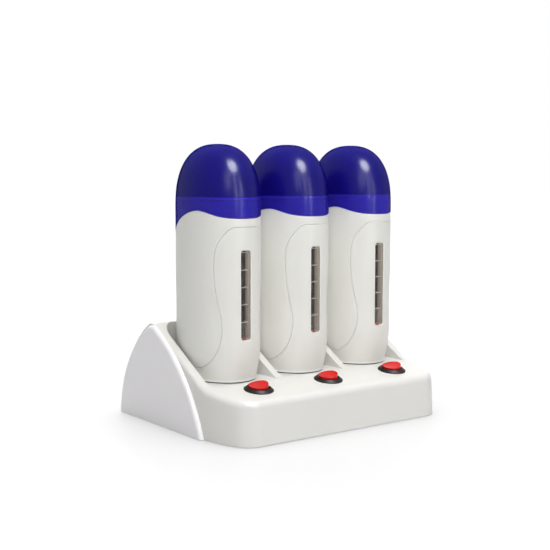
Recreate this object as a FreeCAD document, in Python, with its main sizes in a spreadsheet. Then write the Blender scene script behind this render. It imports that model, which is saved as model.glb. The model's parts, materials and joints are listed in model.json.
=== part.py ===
import FreeCAD, Part
import math
import os

import Sketcher
from FreeCAD import Placement, Rotation, Vector

# Roll-on wax heater: three hand-held cartridge heaters that stand in one charging dock.
#
# Frame: millimetres, +Z up, +X along the row of heaters, -Y towards the user. The origin is the
# centre of the dock's footprint, on the table. Heights of the hand-held heater are measured from
# its own foot, which stands on the floor of its pocket in the dock.

UNITS = (1, 2, 3)

# Driving dimensions, in millimetres and degrees. They go into the document's spreadsheet, and every
# sub-part takes its sizes from there.
SIZES = {
    # heating chamber, which takes the wax cartridge
    "chamber_half_width": 18.0,
    "chamber_half_depth": 28.0,
    "chamber_corner": 12.0,
    "chamber_wall": 1.2,
    "chamber_drop": 0.7,
    # casing of the hand-held heater, round the chamber
    "side_space": 8.9,
    "end_space": 8.4,
    "case_setback": 3.5,
    "case_power": 2.15,
    "case_wall": 2.0,
    "case_floor": 3.0,
    "foot_taper": 4.4,
    "foot_taper_height": 34.0,
    "foot_round": 1.2,
    "waist_depth": 0.6,
    "waist_height": 49.5,
    "waist_span": 70.0,
    "back_lean": 1.2,
    # wavy edge on which the cap sits, and the neck inside the cap
    "cap_edge_front": 121.0,
    "crest_rise": 5.7,
    "side_drop": 4.5,
    "back_drop": 11.5,
    "neck_rise": 14.5,
    "neck_wall": 1.8,
    "neck_plate": 2.0,
    # cap
    "cap_edge_gap": 0.3,
    "cap_wall": 1.8,
    "cap_gap": 0.4,
    "cap_ledge": 1.0,
    "dome_base": 6.5,
    "dome_rise": 48.1,
    "dome_power": 2.43,
    # joint line between the front cover and the rear shell
    "seam_drop": 6.1,
    "seam_foot": 10.2,
    "seam_upper_setback": 11.6,
    "seam_waist_setback": 7.4,
    "seam_waist_height": 39.0,
    "seam_gap": 0.2,
    # level window
    "window_bottom": 32.2,
    "window_drop": 16.9,
    "window_width": 8.6,
    "window_corner": 2.0,
    "window_bevel": 0.7,
    "lens_gap": 0.2,
    "lens_wall": 1.0,
    "lens_sink": 1.2,
    "lens_flange": 2.0,
    "lens_flange_thickness": 2.6,
    "lens_seat_gap": 0.05,
    "graduation_pitch": 12.8,
    "graduation_width": 0.5,
    "graduation_depth": 0.35,
    # heater, thermostat, terminal board and lamp
    "ptc_thickness": 4.0,
    "ptc_width": 24.0,
    "ptc_height": 45.0,
    "ptc_rise": 16.0,
    "thermostat_thickness": 4.0,
    "thermostat_width": 8.0,
    "thermostat_height": 16.0,
    "board_height": 8.5,
    "board_thickness": 1.6,
    "board_inset": 8.7,
    "board_depth": 22.0,
    "board_post_radius": 2.0,
    "board_tongue_width": 10.0,
    "tongue_end": 1.2,
    "lamp_radius": 2.0,
    "lamp_length": 5.0,
    "lamp_offset": 1.5,
    "lamp_setback": 6.8,
    "lamp_gap": 0.6,
    # contact discs and screws under the hand-held heater
    "disc_radius": 4.5,
    "disc_thickness": 0.8,
    "disc_stem_radius": 1.5,
    "disc_gap": 0.1,
    "column_radius": 3.2,
    "column_inset": 9.5,
    "column_end_inset": 15.7,
    "column_height": 28.5,
    "case_screw_radius": 1.25,
    "case_screw_length": 16.0,
    # pockets in the dock
    "dock_gap": 1.4,
    "pocket_web": 6.0,
    "pocket_step": 2.2,
    "dock_wall": 2.0,
    "dock_floor_wall": 2.2,
    "dock_back_corner": 18.0,
    "dock_front_corner": 8.0,
    "dock_lip": 0.7,
    # dock: side view
    "deck_height": 35.3,
    "deck_slope": 7.4,
    "deck_front": 24.5,
    "fold_overlap": 6.2,
    "fold_radius": 30.0,
    "ridge_overlap": 1.6,
    "ridge_rise": 40.1,
    "ridge_radius": 8.0,
    "back_depth": 45.0,
    "back_bulge": 12.3,
    # dock: plan
    "dock_side": 7.5,
    "sweep_radius": 90.0,
    "sweep_angle": 22.0,
    "corner_radius": 17.0,
    "front_draft": 3.5,
    "edge_radius": 5.5,
    "base_wall": 2.5,
    "base_lift": 0.8,
    # side cheeks of the dock
    "cheek_thickness": 3.5,
    "cheek_round": 2.8,
    "cheek_front_gap": 3.9,
    "cheek_back_gap": 1.2,
    "cheek_ridge_shift": 4.4,
    "cheek_top_rise": 1.7,
    "cheek_front_bulge": 10.3,
    "cheek_back_bulge": 12.2,
    "cheek_ridge_radius": 12.0,
    "peg_radius": 2.0,
    "peg_length": 5.0,
    "peg_gap": 0.1,
    "peg_spread": 34.0,
    "peg_low": 12.0,
    "peg_high": 50.0,
    "peg_high_shift": 8.0,
    # bottom plate, feet and screws of the dock
    "plate_thickness": 2.5,
    "plate_recess": 0.5,
    "plate_gap": 0.3,
    "foot_radius": 6.0,
    "foot_seat": 0.8,
    "foot_inset": 24.0,
    "foot_front_inset": 16.0,
    "foot_back_inset": 17.0,
    "boss_radius": 3.6,
    "boss_inset": 10.0,
    "boss_outer_front": 30.0,
    "boss_outer_back": 24.0,
    "boss_inner_front": 16.0,
    "boss_inner_back": 20.0,
    "screw_radius": 1.4,
    "screw_head_radius": 2.8,
    "screw_head_height": 1.6,
    "screw_length": 12.0,
    "screw_gap": 0.05,
    "vent_width": 2.4,
    "vent_length": 26.0,
    "vent_spacing": 7.0,
    # round rocker switches
    "switch_gap": 13.5,
    "rocker_radius": 7.4,
    "rocker_thickness": 5.0,
    "rocker_stand": 2.5,
    "rocker_dish": 36.0,
    "rocker_dish_depth": 0.8,
    "rocker_tilt": 9.0,
    "rocker_gap": 0.5,
    "rocker_pin_radius": 1.0,
    "rocker_pin_gap": 0.06,
    "well_wall": 1.3,
    "bezel_lip": 1.8,
    "bezel_edge": 0.7,
    "bezel_rise": 2.3,
    "bezel_flat": 0.8,
    "switch_rim_flare": 0.3,
    "switch_barrel_depth": 13.0,
    "switch_well_depth": 8.0,
    "switch_hole_gap": 0.2,
    "terminal_length": 6.0,
    # sprung contacts under each pocket
    "contact_spread": 9.0,
    "contact_rise": 1.5,
    "contact_radius": 2.0,
    "contact_collar_radius": 3.1,
    "contact_collar": 1.8,
    "contact_stem_radius": 1.2,
    "contact_gap": 0.07,
    "block_length": 34.0,
    "block_width": 14.0,
    "block_height": 12.0,
    "block_bore_depth": 6.5,
    # mains inlet
    "inlet_width": 21.0,
    "inlet_height": 13.0,
    "inlet_depth": 16.0,
    "inlet_recess": 2.4,
    "inlet_centre": 14.0,
    "inlet_spread": 4.3,
    "inlet_socket_radius": 3.7,
    "inlet_socket_depth": 11.0,
    "inlet_socket_waist": 4.4,
    "inlet_pin_radius": 1.25,
}

# Sizes that follow from the driving ones: what fits round, stands beside or lines up with what.
FOLLOWING = {
    "case_half_width": "chamber_half_width + chamber_wall + side_space",
    "case_half_depth": "chamber_half_depth + chamber_wall + end_space",
    "cap_edge_crest": "cap_edge_front + crest_rise",
    "cap_edge_side": "cap_edge_front - side_drop",
    "cap_edge_back": "cap_edge_front - back_drop",
    "neck_height": "cap_edge_front + neck_rise",
    "dome_start": "cap_edge_front + dome_base",
    "dome_height": "dome_start + dome_rise",
    "seam_top": "cap_edge_front - seam_drop",
    "window_top": "seam_top - window_drop",
    "chamber_foot": "window_bottom - chamber_drop",
    "ptc_foot": "chamber_foot + ptc_rise",
    "board_half_width": "case_half_width - foot_taper - board_inset",
    "board_tongue": "case_half_depth - lamp_setback - board_depth / 2 + tongue_end",
    "column_spread": "case_half_width - foot_taper - column_inset",
    "column_setback": "case_half_depth - foot_taper - column_end_inset",
    "pocket_half_width": "case_half_width + dock_gap",
    "pocket_front": "case_setback + case_half_depth + dock_gap",
    "pocket_back": "case_half_depth - case_setback + dock_gap",
    "dock_floor": "deck_height + pocket_step",
    "unit_pitch": "2 * pocket_half_width + pocket_web",
    "base_half_width": "unit_pitch + pocket_half_width + dock_side",
    "deck_fold": "pocket_front - fold_overlap",
    "switch_setback": "pocket_front + switch_gap",
    "base_front": "switch_setback + deck_front",
    "ridge_setback": "pocket_back - ridge_overlap",
    "base_back": "pocket_back + back_depth",
    "cheek_front": "deck_fold + cheek_front_gap",
    "cheek_back": "base_back - cheek_back_gap",
    "cheek_ridge": "ridge_setback - cheek_ridge_shift",
    "cheek_height": "deck_height + ridge_rise + cheek_top_rise",
    "rocker_rise": "bezel_rise + rocker_stand",
    "switch_well_radius": "rocker_radius + rocker_gap",
    "switch_rim_radius": "switch_well_radius + switch_rim_flare",
    "switch_barrel_radius": "switch_well_radius + well_wall",
    "bezel_radius": "switch_barrel_radius + bezel_lip",
}

document = FreeCAD.newDocument("RollOnWaxHeater")
sheet = document.addObject("Spreadsheet::Sheet", "Sizes")
for row, (alias, length) in enumerate(SIZES.items(), start=1):
    sheet.set(f"A{row}", alias.replace("_", " "))
    sheet.set(f"B{row}", str(length))
    sheet.setAlias(f"B{row}", alias)
document.recompute()

SUB_PARTS = []


# ---------------------------------------------------------------- helpers

def mm(expression):
    """The value of an expression in the sheet's named sizes."""
    return float(sheet.evalExpression(named(expression)))


def named(expression):
    """Turns the size names in an expression into references to the sheet."""
    out, word = "", ""
    for letter in str(expression) + " ":
        if letter.isalnum() or letter in "_.":
            word += letter
            continue
        if word in FOLLOWING:
            word = f"({named(FOLLOWING[word])})"
        out += ("Sizes." + word if word in SIZES else word) + letter
        word = ""
    return out.strip()


def bind(obj, **sizes):
    """Ties properties of an object to expressions in the sheet's sizes."""
    for prop, expression in sizes.items():
        obj.setExpression(prop, named(expression))
    return obj


def place(obj, x="0", y="0", z="0"):
    """Puts an object at a place given by three expressions."""
    for axis, expression in zip("xyz", (x, y, z)):
        obj.setExpression(f"Placement.Base.{axis}", named(expression))
    return obj


def turn(obj, axis, angle):
    """Turns an object about an axis through its own origin, by an expression in degrees."""
    obj.Placement = Placement(obj.Placement.Base, Rotation(axis, mm(angle)))
    obj.setExpression("Placement.Rotation.Angle", named(angle))
    return obj


def sub_part(obj, label):
    """Names a finished sub-part, which is exported under that label."""
    obj.Label = label
    SUB_PARTS.append(obj)
    return obj


def unit_x(unit):
    """Where a unit stands along the row, as an expression."""
    return f"unit_pitch * {unit - 2}"


def solid_part(label, shape, x="0"):
    """A sub-part whose shape was made by functions, moved along the row to its unit."""
    solids = shape.Solids
    feature = document.addObject("Part::Feature", "Shell")
    feature.Shape = solids[0] if len(solids) == 1 else Part.makeCompound(solids)
    place(feature, x)
    return sub_part(feature, label)


def box(length, width, height, x, y, z):
    """A block with one corner at a place, all by expressions."""
    block = document.addObject("Part::Box", "Block")
    return place(bind(block, Length=length, Width=width, Height=height), x, y, z)


def cylinder(radius, height, x="0", y="0", z="0"):
    """An upright cylinder standing on a place, all by expressions."""
    rod = document.addObject("Part::Cylinder", "Rod")
    return place(bind(rod, Radius=radius, Height=height), x, y, z)


def joined(*pieces):
    """One solid from several that meet."""
    union = document.addObject("Part::MultiFuse", "Union")
    union.Shapes = list(pieces)
    return union


def without(base, *tools):
    """A solid with others cut away, one after another."""
    for tool in tools:
        cut = document.addObject("Part::Cut", "Cut")
        cut.Base = base
        cut.Tool = tool
        base = cut
    return base


def group(*pieces):
    """Separate solids that are handled as one sub-part."""
    compound = document.addObject("Part::Compound", "Group")
    compound.Links = list(pieces)
    return compound


def body_named(name):
    return document.addObject("PartDesign::Body", name)


def sketch_on(body, role, offset):
    """An empty sketch on one of the body's own planes, moved along the plane's normal by an offset."""
    plane = next(f for f in body.Origin.OriginFeatures if f.Role == role)
    sketch = body.newObject("Sketcher::SketchObject", body.Name + "Sketch")
    sketch.AttachmentSupport = [(plane, "")]
    sketch.MapMode = "FlatFace"
    sketch.setExpression("AttachmentOffset.Base.z", named(offset))
    return sketch


def outline(body, role, corners, offset="0"):
    """A closed sketch on one of the body's own planes, each corner held by its two distances."""
    sketch = sketch_on(body, role, offset)
    spots = [Vector(mm(u), mm(v), 0) for u, v in corners]
    count = len(spots)
    for k in range(count):
        sketch.addGeometry(Part.LineSegment(spots[k], spots[(k + 1) % count]))
    for k in range(count):
        sketch.addConstraint(Sketcher.Constraint("Coincident", k, 2, (k + 1) % count, 1))
    for k, (u, v) in enumerate(corners):
        for kind, value, expression in (("DistanceX", spots[k].x, u), ("DistanceY", spots[k].y, v)):
            index = sketch.addConstraint(Sketcher.Constraint(kind, -1, 1, k, 1, value))
            sketch.setExpression(f"Constraints[{index}]", named(expression))
    return sketch


def circle(body, role, radius, offset="0"):
    """A circle about the origin of one of the body's own planes, its radius held by an expression."""
    sketch = sketch_on(body, role, offset)
    sketch.addGeometry(Part.Circle(Vector(0, 0, 0), Vector(0, 0, 1), mm(radius)))
    sketch.addConstraint(Sketcher.Constraint("Coincident", 0, 3, -1, 1))
    index = sketch.addConstraint(Sketcher.Constraint("Radius", 0, mm(radius)))
    sketch.setExpression(f"Constraints[{index}]", named(radius))
    return sketch


def rectangle(half_width, low, high):
    """Corners of a rectangle that is centred on the sketch's vertical axis."""
    return [(f"-({half_width})", low), (half_width, low), (half_width, high), (f"-({half_width})", high)]


def pad(body, sketch, length):
    feature = body.newObject("PartDesign::Pad", "Pad")
    feature.Profile = sketch
    bind(feature, Length=length)
    document.recompute()
    return feature


def pocket(body, sketch, length, reverse=False):
    """Cuts a sketch out of the body; the volume has to fall, or the cut points away from it."""
    before = body.Shape.Volume
    feature = body.newObject("PartDesign::Pocket", "Pocket")
    feature.Profile = sketch
    feature.Reversed = reverse
    bind(feature, Length=length)
    document.recompute()
    if body.Shape.Volume > before - 1e-6:
        raise ValueError(f"{body.Name}: the pocket cuts nothing")
    return feature


def turned(name, profile):
    """A body turned about its upright axis, from the corners of half its section."""
    body = body_named(name)
    sketch = outline(body, "XZ_Plane", profile)
    feature = body.newObject("PartDesign::Revolution", "Turned")
    feature.Profile = sketch
    feature.ReferenceAxis = (sketch, ["V_Axis"])
    document.recompute()
    return body


def edges_where(feature, wanted):
    """Names of a feature's edges that a test picks out."""
    return [f"Edge{k}" for k, edge in enumerate(feature.Shape.Edges, start=1) if wanted(edge)]


def is_along(edge, axis):
    """True for a straight edge along an axis, 0 for X, 1 for Y and 2 for Z."""
    if edge.Curve.TypeId != "Part::GeomLine":
        return False
    run = edge.Vertexes[-1].Point - edge.Vertexes[0].Point
    return abs(abs(run[axis]) - run.Length) < 1e-6


def rounded(body, base, wanted, radius):
    """Rounds the edges of a feature that a test picks out."""
    fillet = body.newObject("PartDesign::Fillet", "Round")
    fillet.Base = (base, edges_where(base, wanted))
    bind(fillet, Radius=radius)
    document.recompute()
    return fillet


def face_of(edges):
    return Part.Face(Part.Wire(Part.__sortEdges__(edges)))


# ---------------------------------------------------------------- hand-held casing: form

def case_section(height):
    """Half width, distance to the front and distance to the back of the casing at a height.

    The foot tapers in, the front and sides have a faint waist, and the back leans out downwards.
    """
    foot = mm("foot_taper") * max(0.0, 1 - height / mm("foot_taper_height")) ** 2
    off_waist = min(1.0, abs(height - mm("waist_height")) / (mm("waist_span") / 2))
    waist = mm("waist_depth") * math.cos(off_waist * math.pi / 2) ** 2
    lean = mm("back_lean") * max(0.0, 1 - height / mm("cap_edge_back"))
    half_width = mm("case_half_width") - foot - waist
    front = mm("case_half_depth") - foot - waist
    back = mm("case_half_depth") - foot + lean
    return half_width, front, back


def oval(height, inset=0.0, scale=1.0, section_height=None):
    """The casing's closed outline at a height, moved in by an inset and drawn as a smooth curve."""
    power = mm("case_power")
    level = height if section_height is None else section_height
    half_width, front, back = case_section(max(level, 0.0))
    half_width = (half_width - inset) * scale
    half_depth = ((front + back) / 2 - inset) * scale
    centre = (back - front) / 2 - mm("case_setback")
    points = []
    for k in range(24):
        angle = math.pi / 2 + 2 * math.pi * k / 24
        across, along = math.cos(angle), math.sin(angle)
        x = half_width * math.copysign(abs(across) ** (2 / power), across)
        y = centre + half_depth * math.copysign(abs(along) ** (2 / power), along)
        points.append(Vector(x, y, mm("dock_floor") + height))
    curve = Part.BSplineCurve()
    curve.interpolate(Points=points, PeriodicFlag=True)
    return Part.Wire([curve.toShape()])


def case_levels():
    """Heights at which the casing's outline is drawn: close together up the foot, then evenly to the top."""
    foot, top = mm("foot_taper_height"), mm("cap_edge_crest") + 5
    tapering = [foot * part for part in (0, 0.15, 0.35, 0.55, 0.75)]
    return tapering + [1.1 * foot + (top - 1.1 * foot) * k / 7 for k in range(8)]


def casing(levels):
    """A smooth solid through the casing's outlines at (height, inset) levels."""
    return Part.makeLoft([oval(height, inset) for height, inset in levels], True)


def domed(inset, levels):
    """Straight sides through the levels, closed by the cap's rounded top, all moved in by an inset."""
    start, power = mm("dome_start"), mm("dome_power")
    rise = mm("dome_height") - inset - start
    wires = [oval(height, inset) for height in levels]
    for degrees in range(0, 89, 11):
        lift, scale = math.sin(math.radians(degrees)), math.cos(math.radians(degrees))
        height = start + rise * lift ** (2 / power)
        wires.append(oval(height, inset, scale=scale ** (2 / power), section_height=start))
    return Part.makeLoft(wires, True)


FAR = 60.0


def side_region(edges, x_from=-FAR, x_to=FAR):
    """A region drawn in the side view, run right across the unit."""
    face = face_of(edges)
    face.translate(Vector(x_from, 0, 0))
    return face.extrude(Vector(x_to - x_from, 0, 0))


def side_point(y, height):
    return Vector(0, y, mm("dock_floor") + height)


def line_through(*points):
    return [Part.makeLine(a, b) for a, b in zip(points, points[1:])]


def smooth_curve(points, start, end):
    """A curve through points that sets out and arrives in given directions."""
    curve = Part.BSplineCurve()
    curve.interpolate(Points=points, InitialTangent=start, FinalTangent=end)
    return curve.toShape()


def even_curve(points, start, end):
    """The same, for points that lie at uneven distances: the curve's pace follows those distances."""
    pace = [0.0]
    for a, b in zip(points, points[1:]):
        pace.append(pace[-1] + (b - a).Length)
    curve = Part.BSplineCurve()
    curve.interpolate(Points=points, Parameters=pace, InitialTangent=start, FinalTangent=end, Scale=False)
    return curve.toShape()


def below_cap_edge(raise_by=0.0):
    """Everything under the wavy edge on which the cap sits: a crest at the sides, lower behind."""
    centre, depth = -mm("case_setback"), mm("case_half_depth")
    front = side_point(centre - depth, mm("cap_edge_front"))
    crest = side_point(centre - 0.37 * depth, mm("cap_edge_crest"))
    side = side_point(centre + 0.39 * depth, mm("cap_edge_side"))
    back = side_point(centre + depth, mm("cap_edge_back"))
    wave = smooth_curve([front, crest, side, back], Vector(0, 1, 0.1), Vector(0, 1, 0))
    front_end = Vector(0, -FAR, front.z)
    back_end = Vector(0, FAR, back.z)
    low = mm("dock_floor") - FAR
    edges = line_through(front, front_end, Vector(0, -FAR, low), Vector(0, FAR, low), back_end, back)
    region = side_region(edges + [wave])
    region.translate(Vector(0, 0, raise_by))
    return region


def cover_region(gap=0.0):
    """The region of the front cover: the front panel and the whole foot, up to its curving joint line."""
    front = -mm("case_setback") - mm("case_half_depth")
    upper, waist = mm("seam_upper_setback"), mm("seam_waist_setback")
    top, foot, waist_height = mm("seam_top"), mm("seam_foot"), mm("seam_waist_height")
    drop, low_part = top - waist_height, waist_height - foot
    points = [
        side_point(front + 0.1 * upper, top),
        side_point(front + 0.36 * upper, top - 0.25 * upper),
        side_point(front + 0.76 * upper, top - 0.96 * upper),
        side_point(front + upper, top - 0.4 * drop),
        side_point(front + (upper + waist) / 2, waist_height + 0.25 * drop),
        side_point(front + waist, waist_height),
        side_point(front + 1.57 * waist, foot + 0.375 * low_part),
        side_point(front + 2.8 * waist, foot + 0.07 * low_part),
        side_point(front + 4.1 * waist, foot),
    ]
    seam = even_curve(points, Vector(0, 1, 0), Vector(0, 1, 0))
    low = mm("dock_floor") - FAR
    edges = line_through(
        points[-1], Vector(0, FAR, points[-1].z), Vector(0, FAR, low), Vector(0, -FAR, low),
        Vector(0, -FAR, points[0].z), points[0],
    )
    region = side_region(edges + [seam])
    region.translate(Vector(0, gap, gap))
    return region


def rounded_prism(half_width, low_y, high_y, corner, low, high):
    """An upright block with rounded corners, between two heights above the dock."""
    block = Part.makeBox(2 * half_width, high_y - low_y, high - low, Vector(-half_width, low_y, low))
    return block.makeFillet(corner, [e for e in block.Edges if is_along(e, 2)])


def chamber_prism(inset, low, high):
    """The heating chamber's outline, grown by an inset, between two heights of the casing."""
    depth = mm("chamber_half_depth") + inset
    centre, floor = -mm("case_setback"), mm("dock_floor")
    half_width, corner = mm("chamber_half_width") + inset, mm("chamber_corner") + inset
    return rounded_prism(half_width, centre - depth, centre + depth, corner, floor + low, floor + high)


def window_prism(gap, front, back):
    """The level window's outline, made smaller by a gap, between two distances from the origin."""
    floor, corner = mm("dock_floor"), mm("window_corner") - gap / 2
    half_width = mm("window_width") / 2 - gap
    low, high = floor + mm("window_bottom") + gap, floor + mm("window_top") - gap
    block = Part.makeBox(2 * half_width, back - front, high - low, Vector(-half_width, front, low))
    return block.makeFillet(corner, [e for e in block.Edges if is_along(e, 1)])


def inner_levels(gap=0.0):
    """Levels of the casing's inner face, which steps in behind the shoulder to become the neck's."""
    wall = mm("case_wall") + gap
    neck_wall = mm("cap_wall") + mm("cap_gap") + mm("neck_wall") + gap
    shoulder = mm("cap_edge_back")
    levels = [(mm("case_floor") + gap, wall)] + [(h, wall) for h in case_levels()[1:9]]
    levels += [(shoulder - 14, (wall + neck_wall) / 2), (shoulder - 4, neck_wall), (shoulder + 10, neck_wall)]
    return levels + [(mm("neck_height") - mm("neck_plate") - gap, neck_wall)]


def window_bevel(front):
    """The sloping edge round the window: a frame that narrows from the casing's face inwards."""
    bevel, rings = mm("window_bevel"), []
    for grow, y in ((2 * bevel, front - bevel + 0.2), (0.0, front + bevel + 0.2)):
        prism = window_prism(-grow, y, y + 1)
        rings.append(next(f for f in prism.Faces if f.BoundBox.YMax < y + 0.01).OuterWire)
    return Part.makeLoft(rings, True, True)


def casing_shell():
    """The whole casing before it is split: outer form, neck, inner space and cartridge mouth."""
    outside = casing([(h, 0) for h in case_levels()])
    foot_edges = [e for e in outside.Edges if e.BoundBox.ZMax < mm("dock_floor") + 0.01]
    outside = outside.makeFillet(mm("foot_round"), foot_edges)
    fit = mm("cap_wall") + mm("cap_gap")
    neck_top, neck_low = mm("neck_height"), mm("cap_edge_back") - 17
    neck = casing([(neck_low + (neck_top - neck_low) * k / 3, fit) for k in range(4)])
    inside = casing(inner_levels())
    mouth = chamber_prism(0, neck_top - mm("neck_plate") - 2, neck_top + 2)
    return outside.common(below_cap_edge()).fuse(neck).cut(inside).cut(mouth)


# ---------------------------------------------------------------- hand-held casing: sub-parts

def column_spots():
    """Where the two case screws stand, left and right, behind the contact discs."""
    spread, y = mm("column_spread"), mm("column_setback") - mm("case_setback")
    return [(-spread, y), (spread, y)]


def rear_shell(shell):
    """Back and sides of the casing, with the collar, the neck and two screw columns."""
    floor, z = mm("dock_floor"), mm("dock_floor") + mm("case_floor")
    shape = shell.cut(cover_region(mm("seam_gap")))
    web_low = floor + mm("seam_foot") + 3
    top = floor + mm("column_height")
    middle_of_wall = casing([(h, mm("case_wall") / 2) for h in (8, 18, 25, 40)])
    for x, y in column_spots():
        column = Part.makeCylinder(mm("column_radius"), top - z, Vector(x, y, z))
        web_length = mm("case_half_width") - abs(x)
        start = x if x > 0 else x - web_length
        web = Part.makeBox(web_length, 2, top - web_low, Vector(start, y - 1, web_low))
        shape = shape.fuse(column).fuse(web.common(middle_of_wall))
    bore = mm("case_screw_radius") + mm("screw_gap")
    for x, y in column_spots():
        shape = shape.cut(Part.makeCylinder(bore, mm("case_screw_length") + 2, Vector(x, y, z)))
    return shape.removeSplitter()


def front_cover(shell):
    """Front panel and foot of the casing, with the window, contact seats and board posts."""
    floor = mm("dock_floor")
    front = -mm("case_setback") - mm("case_half_depth")
    shape = shell.common(cover_region())
    shape = shape.cut(window_prism(0, front - 5, front + 8)).cut(window_bevel(front))
    centre = -mm("case_setback")
    for side in (-1, 1):
        x = side * mm("contact_spread")
        seat = mm("disc_radius") + mm("disc_gap")
        rise = mm("contact_rise")
        shape = shape.cut(Part.makeCylinder(seat + 0.8, rise, Vector(x, centre, floor)))
        shape = shape.cut(Part.makeCylinder(seat, mm("disc_thickness"), Vector(x, centre, floor + rise)))
        stem = mm("disc_stem_radius") + mm("disc_gap")
        shape = shape.cut(Part.makeCylinder(stem, mm("case_floor") + 1, Vector(x, centre, floor)))
        for y in board_post_rows():
            top = mm("board_height") - mm("case_floor")
            foot = Vector(side * board_post_x(), y, floor + mm("case_floor"))
            post = Part.makeCylinder(mm("board_post_radius"), top, foot)
            shape = shape.fuse(post)
    for x, y in column_spots():
        head = Part.makeCylinder(mm("screw_head_radius") + 0.3, 2.0, Vector(x, y, floor))
        shank = Part.makeCylinder(mm("case_screw_radius") + 0.25, mm("case_floor") + 1, Vector(x, y, floor))
        shape = shape.cut(head).cut(shank)
    return shape.removeSplitter()


def board_post_x():
    return mm("board_half_width") - 3.0


def board_post_rows():
    back = mm("board_depth") / 2 - mm("case_setback")
    return (back - mm("board_depth") + 3.5, back - 3.5)


def cap():
    """Domed cap whose lower edge follows the casing's wavy edge; a ledge inside rests on the neck."""
    wall, ledge = mm("cap_wall"), mm("cap_ledge")
    low, start = mm("cap_edge_back") - 6, mm("dome_start")
    middle = (low + start) / 2
    outside = domed(0, (low, middle)).cut(below_cap_edge(mm("cap_edge_gap")))
    hollow = casing([(low - 2, wall), (middle, wall), (mm("neck_height"), wall)])
    return outside.cut(hollow).cut(domed(wall + ledge, (middle,))).removeSplitter()


def window_lens():
    """Clear window: a channel open to the chamber behind it, with a flange and moulded graduations."""
    front = -mm("case_setback") - mm("case_half_depth")
    face = front + mm("lens_sink")
    back = -mm("case_setback") - mm("chamber_half_depth") - mm("chamber_wall") - 0.4
    gap, wall = mm("lens_gap"), mm("lens_wall")
    body = window_prism(gap, face, back)
    flange_back = front + mm("case_wall") + mm("lens_flange_thickness")
    flange = window_prism(-mm("lens_flange"), face, flange_back)
    flange = flange.common(casing(inner_levels(mm("lens_seat_gap"))))
    hollow = window_prism(gap + wall, face + wall, back + 1)
    shape = body.fuse(flange).cut(hollow)
    low = mm("dock_floor") + mm("window_bottom")
    high = mm("dock_floor") + mm("window_top")
    half = mm("window_width") / 2 - gap - wall
    level = low + mm("graduation_pitch")
    while level < high - mm("graduation_pitch") / 2:
        rib = Part.makeBox(2 * half, mm("graduation_depth"), mm("graduation_width"),
                           Vector(-half, face + wall, level))
        side = Part.makeBox(mm("graduation_depth"), back - face - wall, mm("graduation_width"),
                            Vector(half - mm("graduation_depth"), face + wall, level))
        shape = shape.fuse(rib).fuse(side)
        level += mm("graduation_pitch")
    return shape.removeSplitter()


def heating_chamber(unit):
    """Aluminium pocket that holds and heats the wax cartridge, with a sight slot in front."""
    body = body_named(f"HeatingChamber{unit}")
    foot = "dock_floor + chamber_foot"
    half, depth, wall = "chamber_half_width", "chamber_half_depth", "chamber_wall"
    centre = "-case_setback"
    outer = outline(body, "XY_Plane", rectangle(f"{half} + {wall}", f"{centre} - {depth} - {wall}",
                                                f"{centre} + {depth} + {wall}"), foot)
    pad(body, outer, "neck_height - neck_plate - chamber_foot")
    inner = outline(body, "XY_Plane", rectangle(half, f"{centre} - {depth}", f"{centre} + {depth}"),
                    "dock_floor + neck_height - neck_plate")
    hollow = pocket(body, inner, "neck_height - neck_plate - chamber_foot - chamber_wall")
    hollow = rounded(body, hollow, lambda e: is_along(e, 2) and abs(e.Vertexes[0].X) < mm(half) + 0.1,
                     "chamber_corner")
    rounded(body, hollow, lambda e: is_along(e, 2) and abs(e.Vertexes[0].X) > mm(half) + 0.1,
            f"chamber_corner + {wall}")
    slot = outline(body, "XZ_Plane", rectangle("window_width / 2", f"{foot} + 2.4", "dock_floor + window_top"),
                   "case_setback + chamber_half_depth - 1")
    pocket(body, slot, "chamber_wall + 2", reverse=True)
    place(body, unit_x(unit))
    return sub_part(body, f"heating_chamber_{unit}")


def ptc_heater(unit):
    """Ceramic heater clamped to the chamber's right wall, with its two contact plates."""
    x = f"{unit_x(unit)} + chamber_half_width + chamber_wall"
    y = "-case_setback - ptc_width / 2"
    core = box("ptc_thickness", "ptc_width", "ptc_height", x, y, "dock_floor + ptc_foot")
    lugs = [
        box("0.8", "5", "8", f"{x} + {offset}", f"-case_setback + {shift}", "dock_floor + ptc_foot - 8")
        for offset, shift in (("0.4", "3"), ("ptc_thickness - 1.2", "-8"))
    ]
    return sub_part(joined(core, *lugs), f"ptc_heater_{unit}")


def thermostat(unit):
    """Thermal cut-out on the chamber's left wall."""
    x = f"{unit_x(unit)} - chamber_half_width - chamber_wall - thermostat_thickness"
    y = "-case_setback - thermostat_width / 2"
    base = "dock_floor + ptc_foot"
    case = box("thermostat_thickness", "thermostat_width", "thermostat_height", x, y, base)
    lead = [
        cylinder("0.5", "8", f"{x} + thermostat_thickness / 2", f"-case_setback + {shift}", f"{base} - 8")
        for shift in ("-2", "2")
    ]
    return sub_part(joined(case, *lead), f"thermostat_{unit}")


def terminal_board(unit):
    """Circuit board over the foot: carries the lamp and joins the contacts to the heater."""
    body = body_named(f"TerminalBoard{unit}")
    back = "board_depth / 2 - case_setback"
    neck = f"{back} - board_depth"
    front = f"{neck} - board_tongue"
    half, tongue = "board_half_width", "board_tongue_width / 2"
    corners = [
        (f"-{half}", back), (f"-{half}", neck), (f"-({tongue})", neck), (f"-({tongue})", front),
        (tongue, front), (tongue, neck), (half, neck), (half, back),
    ]
    plate = pad(body, outline(body, "XY_Plane", corners, "dock_floor + board_height"), "board_thickness")
    rounded(body, plate, lambda e: is_along(e, 2), "1.0")
    place(body, unit_x(unit))
    return sub_part(body, f"terminal_board_{unit}")


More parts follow.
